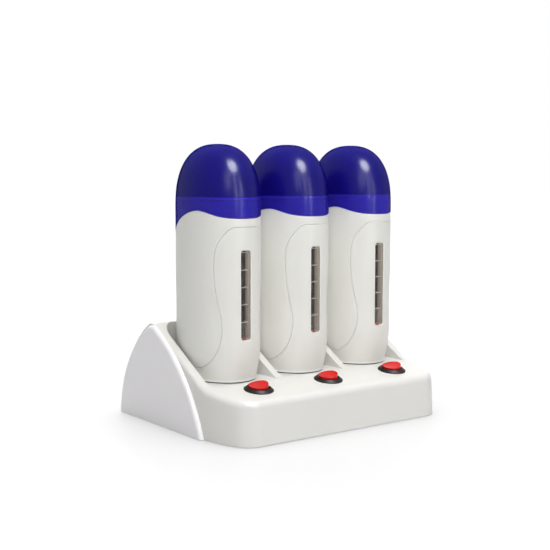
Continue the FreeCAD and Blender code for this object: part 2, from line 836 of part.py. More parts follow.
def indicator_lamp(unit):
    """Red lamp on two legs, which lights the lower end of the level window."""
    x = f"{unit_x(unit)} - lamp_offset"
    y = "-case_setback - case_half_depth + lamp_setback"
    bulb_top = "dock_floor + window_bottom - lamp_gap"
    bulb_foot = f"{bulb_top} - lamp_length"
    board_top = "dock_floor + board_height + board_thickness"
    bulb = cylinder("lamp_radius", "lamp_length - lamp_radius", x, y, bulb_foot)
    tip = document.addObject("Part::Sphere", "Tip")
    place(bind(tip, Radius="lamp_radius"), x, y, f"{bulb_top} - lamp_radius")
    legs = [
        cylinder("0.4", f"{bulb_foot} - ({board_top}) + 0.5", f"{x} + {shift}", y, board_top)
        for shift in ("-1.27", "1.27")
    ]
    return sub_part(joined(bulb, tip, *legs), f"indicator_lamp_{unit}")


def contact_discs(unit):
    """Two brass discs in the foot, each with a stem up to the terminal board."""
    foot = "dock_floor + contact_rise"
    discs = []
    for side in ("-", "+"):
        x, y = f"{unit_x(unit)} {side} contact_spread", "-case_setback"
        disc = cylinder("disc_radius", "disc_thickness", x, y, foot)
        stem = cylinder("disc_stem_radius", "board_height - contact_rise", x, y, foot)
        discs.append(joined(disc, stem))
    return sub_part(group(*discs), f"contact_discs_{unit}")


def case_screws(unit):
    """Two screws that hold the front cover's foot to the rear shell's columns."""
    y = "column_setback - case_setback"
    screws = []
    for side in ("-", "+"):
        x = f"{unit_x(unit)} {side} column_spread"
        head = cylinder("screw_head_radius", "screw_head_height", x, y, "dock_floor + 0.4")
        shank = cylinder("case_screw_radius", "case_screw_length", x, y, "dock_floor + 0.4")
        screws.append(joined(head, shank))
    return sub_part(group(*screws), f"case_screws_{unit}")


# ---------------------------------------------------------------- dock: form

def deck_rise(setback):
    """Height of the sloping deck at a distance in front of the origin."""
    return mm("deck_height") + math.tan(math.radians(mm("deck_slope"))) * (mm("switch_setback") - setback)


def bulged(start, end, bulge):
    """An arc between two points of the side view that stands out from its chord by a bulge."""
    chord = end - start
    out = Vector(0, -chord.z, chord.y).normalize()
    return Part.Arc(start, (start + end) * 0.5 + out * bulge, end).toShape()


def base_profile(inset):
    """Side view of the dock, moved in by an inset: front face, sloping deck, wedge, ridge and back."""
    low = -20.0
    front, back = -mm("base_front") - 10, mm("base_back")
    fold = Vector(0, -mm("deck_fold"), deck_rise(mm("deck_fold")))
    ridge = Vector(0, mm("ridge_setback"), fold.z + mm("ridge_rise"))
    foot = Vector(0, back, 0)
    corners = [Vector(0, back, low), Vector(0, front, low), Vector(0, front, deck_rise(-front)), fold, ridge]
    arc = bulged(ridge, foot, mm("back_bulge"))
    edges = line_through(*corners) + [arc] + line_through(foot, corners[0])
    wire = Part.Wire(Part.__sortEdges__(edges))
    return Part.Face(wire.makeOffset2D(-inset, join=2) if inset else wire)


def base_plan(inset, height):
    """Plan of the dock at a height: straight back and sides, swept and rounded front corners."""
    draft = math.tan(math.radians(mm("front_draft"))) * height
    half, front = mm("base_half_width") - inset, mm("base_front") - draft - inset
    radius, sweep = mm("corner_radius") - inset, mm("sweep_radius") - inset
    angle = math.radians(mm("sweep_angle"))
    corner_x = half - sweep * (1 - math.cos(angle)) - radius * math.cos(angle)
    corner = Vector(corner_x, radius - front, height)
    start = corner + Vector(math.cos(angle), -math.sin(angle), 0) * radius
    sweep_end = Vector(half, start.y + sweep * math.sin(angle), height)
    back = mm("base_back") + 10
    edges = []
    for side in (1, -1):
        def at(v, side=side):
            return Vector(side * v.x, v.y, v.z)

        def on_arc(centre, r, part, side=side):
            return Vector(side * (centre.x + r * math.cos(part)), centre.y - r * math.sin(part), height)

        half_turn = (angle + math.pi / 2) / 2
        sweep_centre = Vector(half - sweep, sweep_end.y, height)
        edges.append(Part.makeLine(Vector(side * half, back, height), at(sweep_end)))
        edges.append(Part.Arc(at(sweep_end), on_arc(sweep_centre, sweep, angle / 2), at(start)).toShape())
        edges.append(Part.Arc(at(start), on_arc(corner, radius, half_turn),
                              Vector(side * corner.x, -front, height)).toShape())
    edges.append(Part.makeLine(Vector(corner_x, -front, height), Vector(-corner_x, -front, height)))
    edges.append(Part.makeLine(Vector(half, back, height), Vector(-half, back, height)))
    return Part.Wire(Part.__sortEdges__(edges))


def base_block(inset, low, high=100.0):
    """The dock's outer form as one block, moved in by an inset: the side view run across the plan."""
    half = mm("base_half_width") + 10
    profile = base_profile(inset)
    profile.translate(Vector(-half, 0, 0))
    block = profile.extrude(Vector(2 * half, 0, 0))
    creases = [e for e in block.Edges if is_along(e, 0)]
    for test, radius in (
        (lambda e: e.BoundBox.YMin < 0 < e.BoundBox.ZMin and e.BoundBox.YMin > -60, mm("fold_radius") + inset),
        (lambda e: e.BoundBox.ZMin > 60, mm("ridge_radius") - inset),
    ):
        block = block.makeFillet(radius, [e for e in creases if test(e)])
        creases = [e for e in block.Edges if is_along(e, 0)]
    plan = Part.makeLoft([base_plan(inset, low), base_plan(inset, high)], True, True)
    return block.common(plan)


def soft_rim(block):
    """Rounds the deck's rim; the radius runs out along the wedge, where the side cheeks begin."""
    large, small = mm("edge_radius"), 0.6
    holder = document.addObject("Part::Feature", "BaseBlock")
    holder.Shape = block
    rows = []
    for number, edge in enumerate(block.Edges, start=1):
        bounds = edge.BoundBox
        flat = bounds.ZLength < 1e-3 and bounds.ZMax < 5
        upright = bounds.ZLength > 15 and bounds.XLength < 4 and bounds.YLength < 4
        across = is_along(edge, 0) and bounds.YMin > -mm("base_front") + 10
        if flat or upright or across or bounds.XMax > 200:
            continue
        behind = bounds.YMin > mm("ridge_setback") - 15
        wedge = bounds.YMin > -mm("deck_fold") - 12
        if behind:
            rows.append((number, small, small))
        elif wedge:
            first, last = edge.valueAt(edge.FirstParameter), edge.valueAt(edge.LastParameter)
            radii = [large + (small - large) * min(1, max(0, (p.y + mm("deck_fold") + 12) / 50))
                     for p in (first, last)]
            rows.append((number, *radii))
        else:
            rows.append((number, large, large))
    rim = document.addObject("Part::Fillet", "SoftRim")
    rim.Base = holder
    rim.Edges = rows
    document.recompute()
    return rim.Shape.copy()


def pocket_form(unit, growth, low):
    """The space of one pocket: straight-sided, round at the back, grown by a wall, from a height up."""
    half_width = mm("pocket_half_width") + growth
    front, back = -mm("pocket_front") - growth, mm("pocket_back") + growth
    corner = Vector(mm(unit_x(unit)) - half_width, front, mm("dock_floor") + low)
    form = Part.makeBox(2 * half_width, back - front, mm("ridge_rise") + 20, corner)
    for radius, end in (("dock_back_corner", back), ("dock_front_corner", front)):
        upright = [e for e in form.Edges if is_along(e, 2) and abs(e.Vertexes[0].Y - end) < 0.1]
        form = form.makeFillet(mm(radius) + growth, upright)
    return form


def pocket_lips(shell):
    """The straight edges in which the pockets' sides meet the wedge; a rounding runs on round the back."""
    lips = []
    for edge in shell.Edges:
        bounds = edge.BoundBox
        sloping = bounds.XLength < 0.01 and bounds.YLength > 5 and bounds.ZLength > 5
        reach = min(abs(bounds.XMin - mm(unit_x(unit))) for unit in UNITS)
        beside_pocket = abs(reach - mm("pocket_half_width")) < 0.01
        if edge.Curve.TypeId == "Part::GeomLine" and sloping and beside_pocket:
            lips.append(edge)
    return lips


def boss_spots():
    """Eight screw places, as expressions: outer corners, and between the pockets in front and behind."""
    spots = []
    for side in ("-", ""):
        for x, row in (("base_half_width - boss_inset", "outer"), ("unit_pitch / 2", "inner")):
            spots.append((f"{side}({x})", f"boss_{row}_front - base_front"))
            spots.append((f"{side}({x})", f"base_back - boss_{row}_back"))
    return spots


def plate_screw_spots():
    """The same eight places in millimetres."""
    return [(mm(x), mm(y)) for x, y in boss_spots()]


def peg_spots():
    """Where the side cheeks' pegs go through the dock's side walls."""
    middle, spread = (mm("cheek_back") - mm("cheek_front")) / 2, mm("peg_spread")
    low, high = mm("peg_low"), mm("peg_high")
    return [(middle - spread, low), (middle + spread, low), (middle + mm("peg_high_shift"), high)]


def base_top_shell():
    """Hollow moulding with three pockets, switch holes, inlet opening and screw bosses."""
    wall, lift = mm("base_wall"), mm("base_lift")
    hull = soft_rim(base_block(0, lift))
    shell = hull.cut(base_block(wall, lift - 5))
    boss_low = lift + mm("plate_recess") + mm("plate_thickness")
    for x, y in plate_screw_spots():
        boss = Part.makeCylinder(mm("boss_radius"), 90, Vector(x, y, boss_low))
        shell = shell.fuse(boss.common(hull))
    for unit in UNITS:
        shell = shell.fuse(pocket_form(unit, mm("dock_wall"), -mm("dock_floor_wall")).common(hull))
    for unit in UNITS:
        shell = shell.cut(pocket_form(unit, 0.0, 0.0))
    shell = shell.makeFillet(mm("dock_lip"), pocket_lips(shell))
    for unit in UNITS:
        x = mm(unit_x(unit))
        hole = Part.makeCylinder(mm("switch_barrel_radius") + mm("switch_hole_gap"), 30, Vector(0, 0, -15))
        hole.Placement = Placement(Vector(x, -mm("switch_setback"), mm("deck_height")),
                                   Rotation(Vector(1, 0, 0), mm("deck_slope")))
        shell = shell.cut(hole)
        for side in (-1, 1):
            spot = Vector(x + side * mm("contact_spread"), -mm("case_setback"), mm("dock_floor") - 10)
            shell = shell.cut(Part.makeCylinder(mm("contact_radius") + 0.3, 12, spot))
    for x, y in plate_screw_spots():
        bore = Part.makeCylinder(mm("screw_radius") + mm("screw_gap"), mm("screw_length"), Vector(x, y, 0))
        shell = shell.cut(bore)
    for y, z in peg_spots():
        hole = Part.makeCylinder(mm("peg_radius") + mm("peg_gap"), 300, Vector(-150, y, z), Vector(1, 0, 0))
        shell = shell.cut(hole)
    opening = Part.makeBox(mm("inlet_width") + 0.4, 30, mm("inlet_height") + 0.4,
                           Vector(-mm("inlet_width") / 2 - 0.2, mm("base_back") - 18,
                                  mm("inlet_centre") - mm("inlet_height") / 2 - 0.2))
    return shell.cut(opening).removeSplitter()


# ---------------------------------------------------------------- dock: sub-parts

def base_bottom_plate():
    """Flat plate inside the shell's rim, with foot seats, countersunk screws and vent slots."""
    low = mm("base_lift") + mm("plate_recess")
    inset = mm("base_wall") + mm("plate_gap")
    slab = Part.makeBox(400, 400, mm("plate_thickness"), Vector(-200, -200, low))
    plate = base_block(inset, low - 5).common(slab)
    for x, y in plate_screw_spots():
        head = Part.makeCylinder(mm("screw_head_radius") + 0.2, mm("screw_head_height"), Vector(x, y, low))
        shank = Part.makeCylinder(mm("screw_radius") + 0.2, 10, Vector(x, y, low))
        plate = plate.cut(head).cut(shank)
    for x, y in foot_spots():
        plate = plate.cut(Part.makeCylinder(mm("foot_radius") + 0.1, mm("foot_seat"), Vector(x, y, low)))
    for unit in UNITS:
        for k in range(-2, 3):
            x = mm(unit_x(unit)) + k * mm("vent_spacing") - mm("vent_width") / 2
            slot = Part.makeBox(mm("vent_width"), mm("vent_length"), 10,
                                Vector(x, -mm("vent_length") / 2, low - 2))
            plate = plate.cut(slot.makeFillet(mm("vent_width") / 2 - 0.01,
                                              [e for e in slot.Edges if is_along(e, 2)]))
    return plate.removeSplitter()


def foot_spots():
    """Four rubber feet near the corners of the bottom plate."""
    x = mm("base_half_width - foot_inset")
    front, back = mm("foot_front_inset - base_front"), mm("base_back - foot_back_inset")
    return [(-x, front), (x, front), (-x, back), (x, back)]


def side_cheek(side, label):
    """Shark-fin side panel: two bulged edges that meet in a rounded top, with three pegs inwards."""
    foot = mm("base_lift")
    front = Vector(0, -mm("cheek_front"), foot)
    back = Vector(0, mm("cheek_back"), foot)
    top = Vector(0, mm("cheek_ridge"), mm("cheek_height"))
    edges = [bulged(front, top, mm("cheek_front_bulge")), bulged(top, back, mm("cheek_back_bulge"))]
    panel = face_of(edges + [Part.makeLine(back, front)])
    panel.translate(Vector(mm("base_half_width"), 0, 0))
    panel = panel.extrude(Vector(mm("cheek_thickness"), 0, 0))
    tip = [e for e in panel.Edges if is_along(e, 0) and e.BoundBox.ZMin > 60]
    panel = panel.makeFillet(mm("cheek_ridge_radius"), tip)
    outer = mm("base_half_width") + mm("cheek_thickness")
    rim = [e for e in panel.Edges if e.BoundBox.XMin > outer - 0.01 and e.BoundBox.ZMax > foot + 1]
    panel = panel.makeFillet(mm("cheek_round"), rim)
    for y, z in peg_spots():
        start = Vector(mm("base_half_width") + 0.5, y, z)
        panel = panel.fuse(Part.makeCylinder(mm("peg_radius"), mm("peg_length"), start, Vector(-1, 0, 0)))
    if side < 0:
        panel = panel.mirror(Vector(0, 0, 0), Vector(1, 0, 0))
    return solid_part(label, panel.removeSplitter())


def rubber_feet():
    feet = []
    for y in ("foot_front_inset - base_front", "base_back - foot_back_inset"):
        for side in ("-", ""):
            feet.append(cylinder("foot_radius", "base_lift + plate_recess + foot_seat",
                                 f"{side}(base_half_width - foot_inset)", y))
    return sub_part(group(*feet), "rubber_feet")


def base_screws():
    """Eight identical screws that hold the bottom plate to the shell's bosses."""
    low = "base_lift + plate_recess"
    screws = []
    for x, y in boss_spots():
        head = cylinder("screw_head_radius", "screw_head_height", x, y, low)
        shank = cylinder("screw_radius", f"screw_length - ({low})", x, y, low)
        screws.append(joined(head, shank))
    return sub_part(group(*screws), "base_screws")


def at_switch(obj, unit):
    """Stands an object on the sloping deck, at a unit's switch."""
    turn(obj, Vector(1, 0, 0), "deck_slope")
    return place(obj, unit_x(unit), "-switch_setback", "deck_height")


def switch_body(unit):
    """Round switch housing: domed bezel on the deck, barrel below, open well for the rocker."""
    profile = [
        ("0", "-switch_barrel_depth"), ("switch_barrel_radius", "-switch_barrel_depth"),
        ("switch_barrel_radius", "0"), ("bezel_radius", "0"), ("bezel_radius", "bezel_edge"),
        ("switch_rim_radius + bezel_flat", "bezel_rise"), ("switch_rim_radius", "bezel_rise"),
        ("switch_well_radius", "bezel_rise - 0.5"), ("switch_well_radius", "-switch_well_depth"),
        ("0", "-switch_well_depth"),
    ]
    body = turned(f"SwitchBody{unit}", profile)
    pins = circle(body, "XZ_Plane", "rocker_pin_radius + rocker_pin_gap", "0.4 - switch_barrel_radius")
    pocket(body, pins, "2 * (switch_barrel_radius - 0.4)", reverse=True)
    for side in ("-", ""):
        corners = [(f"{side}3.2", "-3"), (f"{side}4", "-3"), (f"{side}4", "3"), (f"{side}3.2", "3")]
        blade = outline(body, "XY_Plane", corners, "-switch_barrel_depth - terminal_length")
        pad(body, blade, "terminal_length + 1")
    at_switch(body, unit)
    return sub_part(body, f"switch_body_{unit}")


def switch_rocker(unit):
    """Red rocker: dished top, straight rim, underside turned in to swing clear, and two pivot pins."""
    profile = [
        ("0", "-rocker_thickness"), ("0.74 * rocker_radius", "-rocker_thickness"),
        ("0.95 * rocker_radius", "-0.56 * rocker_thickness"), ("rocker_radius", "-0.3 * rocker_thickness"),
        ("rocker_radius", "rocker_rise"), ("0", "rocker_rise"),
    ]
    blank = turned(f"Rocker{unit}", profile)
    dish = document.addObject("Part::Cylinder", "Dish")
    bind(dish, Radius="rocker_dish", Height="4 * rocker_radius")
    dish.Placement = Placement(Vector(0, 0, 0), Rotation(Vector(1, 0, 0), 90))
    place(dish, "0", "2 * rocker_radius", "rocker_rise - rocker_dish_depth + rocker_dish")
    pins = document.addObject("Part::Cylinder", "Pins")
    bind(pins, Radius="rocker_pin_radius", Height="2 * (switch_barrel_radius - 0.6)")
    pins.Placement = Placement(Vector(0, 0, 0), Rotation(Vector(1, 0, 0), 90))
    place(pins, "0", "switch_barrel_radius - 0.6", "0")
    shaped = joined(without(blank, dish), pins)
    turn(shaped, Vector(0, 1, 0), "-rocker_tilt")
    holder = document.addObject("Part::Compound", "RockerGroup")
    holder.Links = [shaped]
    at_switch(holder, unit)
    return sub_part(holder, f"switch_rocker_{unit}")


def contact_block(unit):
    """Insulating block under the pocket floor, bored for the two sprung contacts."""
    body = body_named(f"ContactBlock{unit}")
    top = "dock_floor - dock_floor_wall"
    corners = rectangle("block_length / 2", "-case_setback - block_width / 2", "-case_setback + block_width / 2")
    block = pad(body, outline(body, "XY_Plane", corners, f"{top} - block_height"), "block_height")
    rounded(body, block, lambda e: is_along(e, 2), "2.0")
    place(body, unit_x(unit))
    bores = []
    for side in ("-", "+"):
        x = f"{unit_x(unit)} {side} contact_spread"
        bores.append(cylinder("contact_collar_radius + contact_gap", "block_bore_depth + 1", x, "-case_setback",
                              f"{top} - block_bore_depth"))
        bores.append(cylinder("contact_stem_radius + contact_gap", "block_height + 2", x, "-case_setback",
                              f"{top} - block_height - 1"))
    return sub_part(without(body, *bores), f"contact_block_{unit}")


def contact_pin(unit, side, label):
    """Sprung contact: stem, stop collar under the pocket floor, and a rounded tip that meets a disc."""
    collar_top = "dock_floor - dock_floor_wall - 0.05"
    profile = [
        ("0", f"{collar_top} - block_height + 1"), ("contact_stem_radius", f"{collar_top} - block_height + 1"),
        ("contact_stem_radius", f"{collar_top} - contact_collar"),
        ("contact_collar_radius", f"{collar_top} - contact_collar"), ("contact_collar_radius", collar_top),
        ("contact_radius", collar_top), ("contact_radius", "dock_floor + contact_rise - 1"),
        ("contact_radius - 0.8", "dock_floor + contact_rise - 0.03"), ("0", "dock_floor + contact_rise - 0.03"),
    ]
    body = turned(f"ContactPin{label.title()}{unit}", profile)
    place(body, f"{unit_x(unit)} {side} contact_spread", "-case_setback")
    return sub_part(body, f"contact_pin_{unit}_{label}")


def power_inlet():
    """Two-pole mains inlet in the dock's back, with a figure-eight socket."""
    body = body_named("PowerInlet")
    low = "inlet_centre - inlet_height / 2"
    block = pad(body, outline(body, "XZ_Plane", rectangle("inlet_width / 2", low, f"{low} + inlet_height"),
                              "inlet_recess - base_back"), "inlet_depth")
    rounded(body, block, lambda e: is_along(e, 1), "1.5")
    place(body)
    sockets = []
    for side in ("-", ""):
        bore = document.addObject("Part::Cylinder", "Socket")
        bind(bore, Radius="inlet_socket_radius", Height="inlet_socket_depth + 2")
        bore.Placement = Placement(Vector(0, 0, 0), Rotation(Vector(1, 0, 0), 90))
        sockets.append(place(bore, f"{side}inlet_spread", "base_back - inlet_recess + 2", "inlet_centre"))
    waist = box("2 * inlet_spread", "inlet_socket_depth + 2", "inlet_socket_waist", "-inlet_spread",
                "base_back - inlet_recess - inlet_socket_depth", "inlet_centre - inlet_socket_waist / 2")
    return sub_part(without(body, *sockets, waist), "power_inlet")


def inlet_pins():
    """The inlet's two round pins."""
    pins = []
    for side in ("-", ""):
        pin = document.addObject("Part::Cylinder", "Pin")
        bind(pin, Radius="inlet_pin_radius", Height="inlet_socket_depth - 2")
        pin.Placement = Placement(Vector(0, 0, 0), Rotation(Vector(1, 0, 0), 90))
        pins.append(place(pin, f"{side}inlet_spread", "base_back - inlet_recess - 2", "inlet_centre"))
    return sub_part(group(*pins), "inlet_pins")


# ---------------------------------------------------------------- assembly

shell = casing_shell()
casing_shapes = {
    "rear_shell": rear_shell(shell),
    "front_cover": front_cover(shell),
    "window_lens": window_lens(),
    "cap": cap(),
}

for unit in UNITS:
    for label, shape in casing_shapes.items():
        solid_part(f"{label}_{unit}", shape.copy(), unit_x(unit))
    heating_chamber(unit)
    ptc_heater(unit)
    thermostat(unit)
    terminal_board(unit)
    indicator_lamp(unit)
    contact_discs(unit)
    case_screws(unit)

solid_part("base_top_shell", base_top_shell())
solid_part("base_bottom_plate", base_bottom_plate())
side_cheek(-1, "side_cheek_left")
side_cheek(1, "side_cheek_right")
rubber_feet()
base_screws()
for unit in UNITS:
    switch_body(unit)
    switch_rocker(unit)
    contact_block(unit)
    contact_pin(unit, "-", "left")
    contact_pin(unit, "+", "right")
power_inlet()
inlet_pins()

document.recompute()

# ---------------------------------------------------------------- checks and export

for thing in document.Objects:
    if "Invalid" in thing.State or "Error" in thing.State:
        raise ValueError(f"{thing.Label} ({thing.Name}) failed: {thing.State}")

os.makedirs("parts", exist_ok=True)
for part in SUB_PARTS:
    shape = part.Shape
    if shape.isNull() or not shape.isValid():
        raise ValueError(f"{part.Label} has no valid shape")
    shape.exportStep(f"parts/{part.Label}.step")
    print(f"{part.Label}: {len(shape.Solids)} solid(s), {shape.Volume / 1000:.2f} cm3")
print(len(SUB_PARTS), "sub-parts")
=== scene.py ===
# %% [markdown]
# # A dock with three roll-on wax heaters
#
# This scene dresses a CAD model for a product picture. The model is a white charging dock in
# which three hand-held wax heaters stand. Each heater has a deep blue cap and a clear window that
# shows how much wax is left, and a round switch with a red rocker sits in front of it.
#
# The first cell loads the CAD model. Every object is in metres, +Z is up, and -Y is the side with
# the switches. The CAD meshes are used as they are, since their gaps and edges already have their
# real sizes. The scene adds the materials, three small lamp tips, a floor, a camera and lights.

import json
import math

import bpy
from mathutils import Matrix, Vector


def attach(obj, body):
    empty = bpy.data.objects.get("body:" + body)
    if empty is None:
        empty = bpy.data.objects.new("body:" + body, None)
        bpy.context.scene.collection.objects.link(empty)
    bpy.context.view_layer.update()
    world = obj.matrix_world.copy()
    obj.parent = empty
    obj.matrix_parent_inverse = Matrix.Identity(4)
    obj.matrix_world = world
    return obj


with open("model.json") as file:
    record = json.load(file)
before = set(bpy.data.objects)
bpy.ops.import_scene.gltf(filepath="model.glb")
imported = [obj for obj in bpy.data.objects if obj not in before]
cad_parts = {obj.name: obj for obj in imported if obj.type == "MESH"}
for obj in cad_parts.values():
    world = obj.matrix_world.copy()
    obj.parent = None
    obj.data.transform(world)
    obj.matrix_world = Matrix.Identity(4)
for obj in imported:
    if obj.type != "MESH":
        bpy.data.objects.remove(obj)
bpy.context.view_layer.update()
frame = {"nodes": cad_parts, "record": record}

# %% [markdown]
# ## Colours and sizes
#
# Colours are written as the hex codes that an image editor shows. Blender computes with linear
# light, so one function converts them. Sizes are written in millimetres, as a maker measures
# them, and are turned to metres where Blender needs them. A noise texture's scale is the number of
# its cells in a metre, so that too is worked out from a size in millimetres.

# %% Colours and sizes
def colour(code):
    """A linear RGBA colour from an sRGB hex code such as '#8040ff'."""
    channels = [int(code[k:k + 2], 16) / 255 for k in (1, 3, 5)]
    linear = [c / 12.92 if c <= 0.04045 else ((c + 0.055) / 1.055) ** 2.4 for c in channels]
    return (*linear, 1.0)


def mm(value):
    """Metres, from millimetres."""
    return value / 1000


def cells(size_mm):
    """The texture scale whose cells are this many millimetres across."""
    return 1000.0 / size_mm


print("dock white in linear light:", [round(c, 3) for c in colour("#dfdeda")])
print("noise cells of 9 mm need a scale of", round(cells(9), 1))

# %% [markdown]
# ## Building a material
#
# A material is a tree of nodes. Most of the work is adding a node, setting its sockets and linking
# it to other nodes, and one function does all three: a hex code becomes a colour, and a socket of
# another node becomes a link.
#
# All patterns read Object coordinates. Every piece of this model shares one origin, so a pattern
# keeps its real size, runs on from piece to piece and moves with the piece that wears it.

# %% Nodes and new materials
def add(tree, kind, settings=None):
    """Adds a shader node. Settings name its properties and sockets, by name or by number."""
    node = tree.nodes.new("ShaderNode" + kind)
    for name, value in (settings or {}).items():
        if isinstance(name, str) and name not in node.inputs:
            setattr(node, name, value)
        elif isinstance(value, bpy.types.NodeSocket):
            tree.links.new(value, node.inputs[name])
        else:
            node.inputs[name].default_value = colour(value) if isinstance(value, str) else value
    return node


def start_material(name):
    """A new material, its emptied node tree, and the object's own coordinates."""
    material = bpy.data.materials.new(name)
    material.use_nodes = True
    tree = material.node_tree
    tree.nodes.clear()
    return material, tree, add(tree, "TexCoord").outputs["Object"]


print("node tools ready")

# %% [markdown]
# ## Masks and layers of colour
#
# Many finishes change with height, such as a dirty foot or the part of a cap that has the neck
# behind it. A mask is a value from 0 to 1 that says where. It could be painted on an image, but
# that needs the mesh unwrapped, and a height in millimetres is exact at any distance.
#
# Colours are then laid over each other as a painter does: each row of a table mixes two colours
# by a mask, and a later row may use the result of an earlier one.

# %% Masks by height, and layers
def around(level_mm, soft_mm=0.1):
    """The range of a mask that goes from 0 to 1 at a level, over a soft edge."""
    return {"From Min": mm(level_mm - soft_mm), "From Max": mm(level_mm + soft_mm)}


def band(tree, height, low_mm, high_mm, high_soft_mm, strength=1.0):
    """A mask that has its strength between two levels, and is 0 outside them."""
    over = add(tree, "MapRange", {"Value": height, **around(low_mm)})
    under = add(tree, "MapRange", {"Value": height, **around(high_mm, high_soft_mm),
                                   "To Min": strength, "To Max": 0.0})
    return add(tree, "Math", {"operation": "MULTIPLY", 0: over.outputs["Result"],
                              1: under.outputs["Result"]}).outputs["Value"]


def layers(tree, rows):
    """Mixes colours row by row: a name for the result, a mask, the colour at 0 and that at 1."""
    made = {}
    for name, mask, low, high in rows:
        mixed = add(tree, "Mix", {"data_type": "RGBA", "Factor": mask,
                                  "A": made.get(low, low), "B": made.get(high, high)})
        made[name] = mixed.outputs["Result"]
    return made[name]


print("a soft edge at 37.5 mm:", around(37.5))

# %% [markdown]
# ## Gaps and edges
#
# Two things help the eye to read a white moulding. Narrow gaps between pieces are darker, because
# little light gets in. Edges are never sharp: a small rounding catches the light as a pale line.
#
# An Ambient Occlusion node finds the gaps and darkens the colour in them, as painted shade. A
# Bevel node turns the shading round at the CAD model's sharp edges and leaves the mesh alone.
# Where its normal leaves the real one, the surface is at an edge, and the colour can go over to a
# paler one there, a painted highlight. Bevelling the meshes would do it too, with many more faces
# on pieces that already fit each other.

# %% Gaps and edges
CREVICE_MM = 1.2
CREVICE_OPEN = 0.6  # the share of open sky from which a point is no longer in a gap
RIM_STARTS, RIM_FULL = 0.995, 0.93  # the cosines between the real and the rounded normal


def in_crevices(tree, tone, darkest):
    """The tone with painted shade: darkened in gaps down to a share of itself."""
    sky = add(tree, "AmbientOcclusion", {"samples": 6, "Distance": mm(CREVICE_MM)}).outputs["AO"]
    shade = add(tree, "MapRange", {"Value": sky, "From Max": CREVICE_OPEN, "To Min": darkest})
    return add(tree, "Mix", {"data_type": "RGBA", "blend_type": "MULTIPLY", "Factor": 1.0,
                             "A": tone, "B": shade.outputs["Result"]}).outputs["Result"]


def painted_edge_highlights(tree, tone, soft_normal, edge_highlight):
    """The tone, turned to a painted highlight colour where the rounded normal leaves the real one.
    """
    real = add(tree, "NewGeometry").outputs["Normal"]
    facing = add(tree, "VectorMath", {"operation": "DOT_PRODUCT", 0: real, 1: soft_normal})
    mask = add(tree, "MapRange", {"Value": facing.outputs["Value"],
                                  "From Min": RIM_STARTS, "From Max": RIM_FULL})
    return layers(tree, [("edged", mask.outputs["Result"], tone, edge_highlight)])


print("gaps are darkened within", CREVICE_MM, "mm")

# %% [markdown]
# ## Moulded plastic
#
# Most of this product is injection moulded plastic. It is never quite even: its colour drifts over
# some centimetres as the melt flowed, its gloss changes over areas that hands touch, and the mould
# leaves a fine grain. Three noise textures make these, at about 45 mm, 9 mm and the grain's own
# size. An image of plastic would need its seams hidden, while a noise fits every piece.

# %% Moulded plastic
DRIFT_MM, WEAR_MM = 45, 9
GLOSS_CHANGE = 0.03
GRAIN_STRENGTH = 0.25
COAT_ROUGH = 0.06


def plastic(name, base, tint, rough, grain_mm, grain_deep_mm, coat=0.0, edge_mm=0.3,
            crevice=0.5, edge_highlight=None, paint=None, more=None):
    """A moulded plastic that drifts from base to tint. Paint adds to its colour by place."""
    material, tree, place = start_material(name)
    drift = add(tree, "TexNoise", {"Vector": place, "Scale": cells(DRIFT_MM), "Detail": 3.0})
    wear = add(tree, "TexNoise", {"Vector": place, "Scale": cells(WEAR_MM), "Detail": 4.0})
    fine = add(tree, "TexNoise", {"Vector": place, "Scale": cells(grain_mm), "Detail": 2.0})
    soft = add(tree, "Bevel", {"samples": 6, "Radius": mm(edge_mm)}).outputs["Normal"]
    tone = layers(tree, [("drifting", drift.outputs["Fac"], base, tint)])
    # Painted shade: the colour darkens in narrow gaps.
    tone = in_crevices(tree, tone, crevice)
    # Painted highlight: a paler colour along the edges, where one is given.
    if edge_highlight:
        tone = painted_edge_highlights(tree, tone, soft, edge_highlight)
    if paint:
        tone = paint(tree, place, tone)
    gloss = add(tree, "MapRange", {"Value": wear.outputs["Fac"],
                                   "To Min": rough - GLOSS_CHANGE, "To Max": rough + GLOSS_CHANGE})
    bump = add(tree, "Bump", {"Height": fine.outputs["Fac"], "Normal": soft,
                              "Strength": GRAIN_STRENGTH, "Distance": mm(grain_deep_mm)})
    shader = add(tree, "BsdfPrincipled", {
        "Base Color": tone, "Roughness": gloss.outputs["Result"], "Normal": bump.outputs["Normal"],
        "Coat Weight": coat, "Coat Roughness": COAT_ROUGH, **(more or {})})
    add(tree, "OutputMaterial", {"Surface": shader.outputs["BSDF"]})
    return material


materials = {}
print("colour drifts over", DRIFT_MM, "mm and gloss over", WEAR_MM, "mm")

# %% [markdown]
# ## The casings' foot
#
# Each heater's foot stands in a pocket of the dock. Where the two meet, a thin dark line of
# painted shadow lies in the gap, and the rounding just above it carries a band of painted
# highlight. It could be painted on an image. Both run level round the casing, though, so masks by
# height follow it exactly, and the mesh needs no unwrapping.

# %% Painted shadow and highlight at the casings' foot
FOOT_LEVEL = 37.5
SHADOW_TOP, SHADOW_SOFT = 0.75, 0.25
GLEAM_LOW, GLEAM_HIGH, GLEAM_SOFT, GLEAM_SHARE = 0.9, 2.2, 0.5, 0.7


def foot_shadow_and_highlight(tree, place, tone):
    """The casing's tone, with a painted shadow line at its foot and a painted highlight band above
    it.
    """
    height = add(tree, "SeparateXYZ", {0: place}).outputs["Z"]
    unshaded = add(tree, "MapRange", {"Value": height, **around(FOOT_LEVEL + SHADOW_TOP, SHADOW_SOFT)})
    gleam = band(tree, height, FOOT_LEVEL + GLEAM_LOW, FOOT_LEVEL + GLEAM_HIGH, GLEAM_SOFT,
                  GLEAM_SHARE)
    # Painted shadow: a dark line at the foot. Painted highlight: a white band just above it.
    return layers(tree, [("lined", unshaded.outputs["Result"], "#38332b", tone),
                         ("gleam", gleam, "lined", "#ffffff")])


print("the foot's line ends at", FOOT_LEVEL + SHADOW_TOP, "mm")
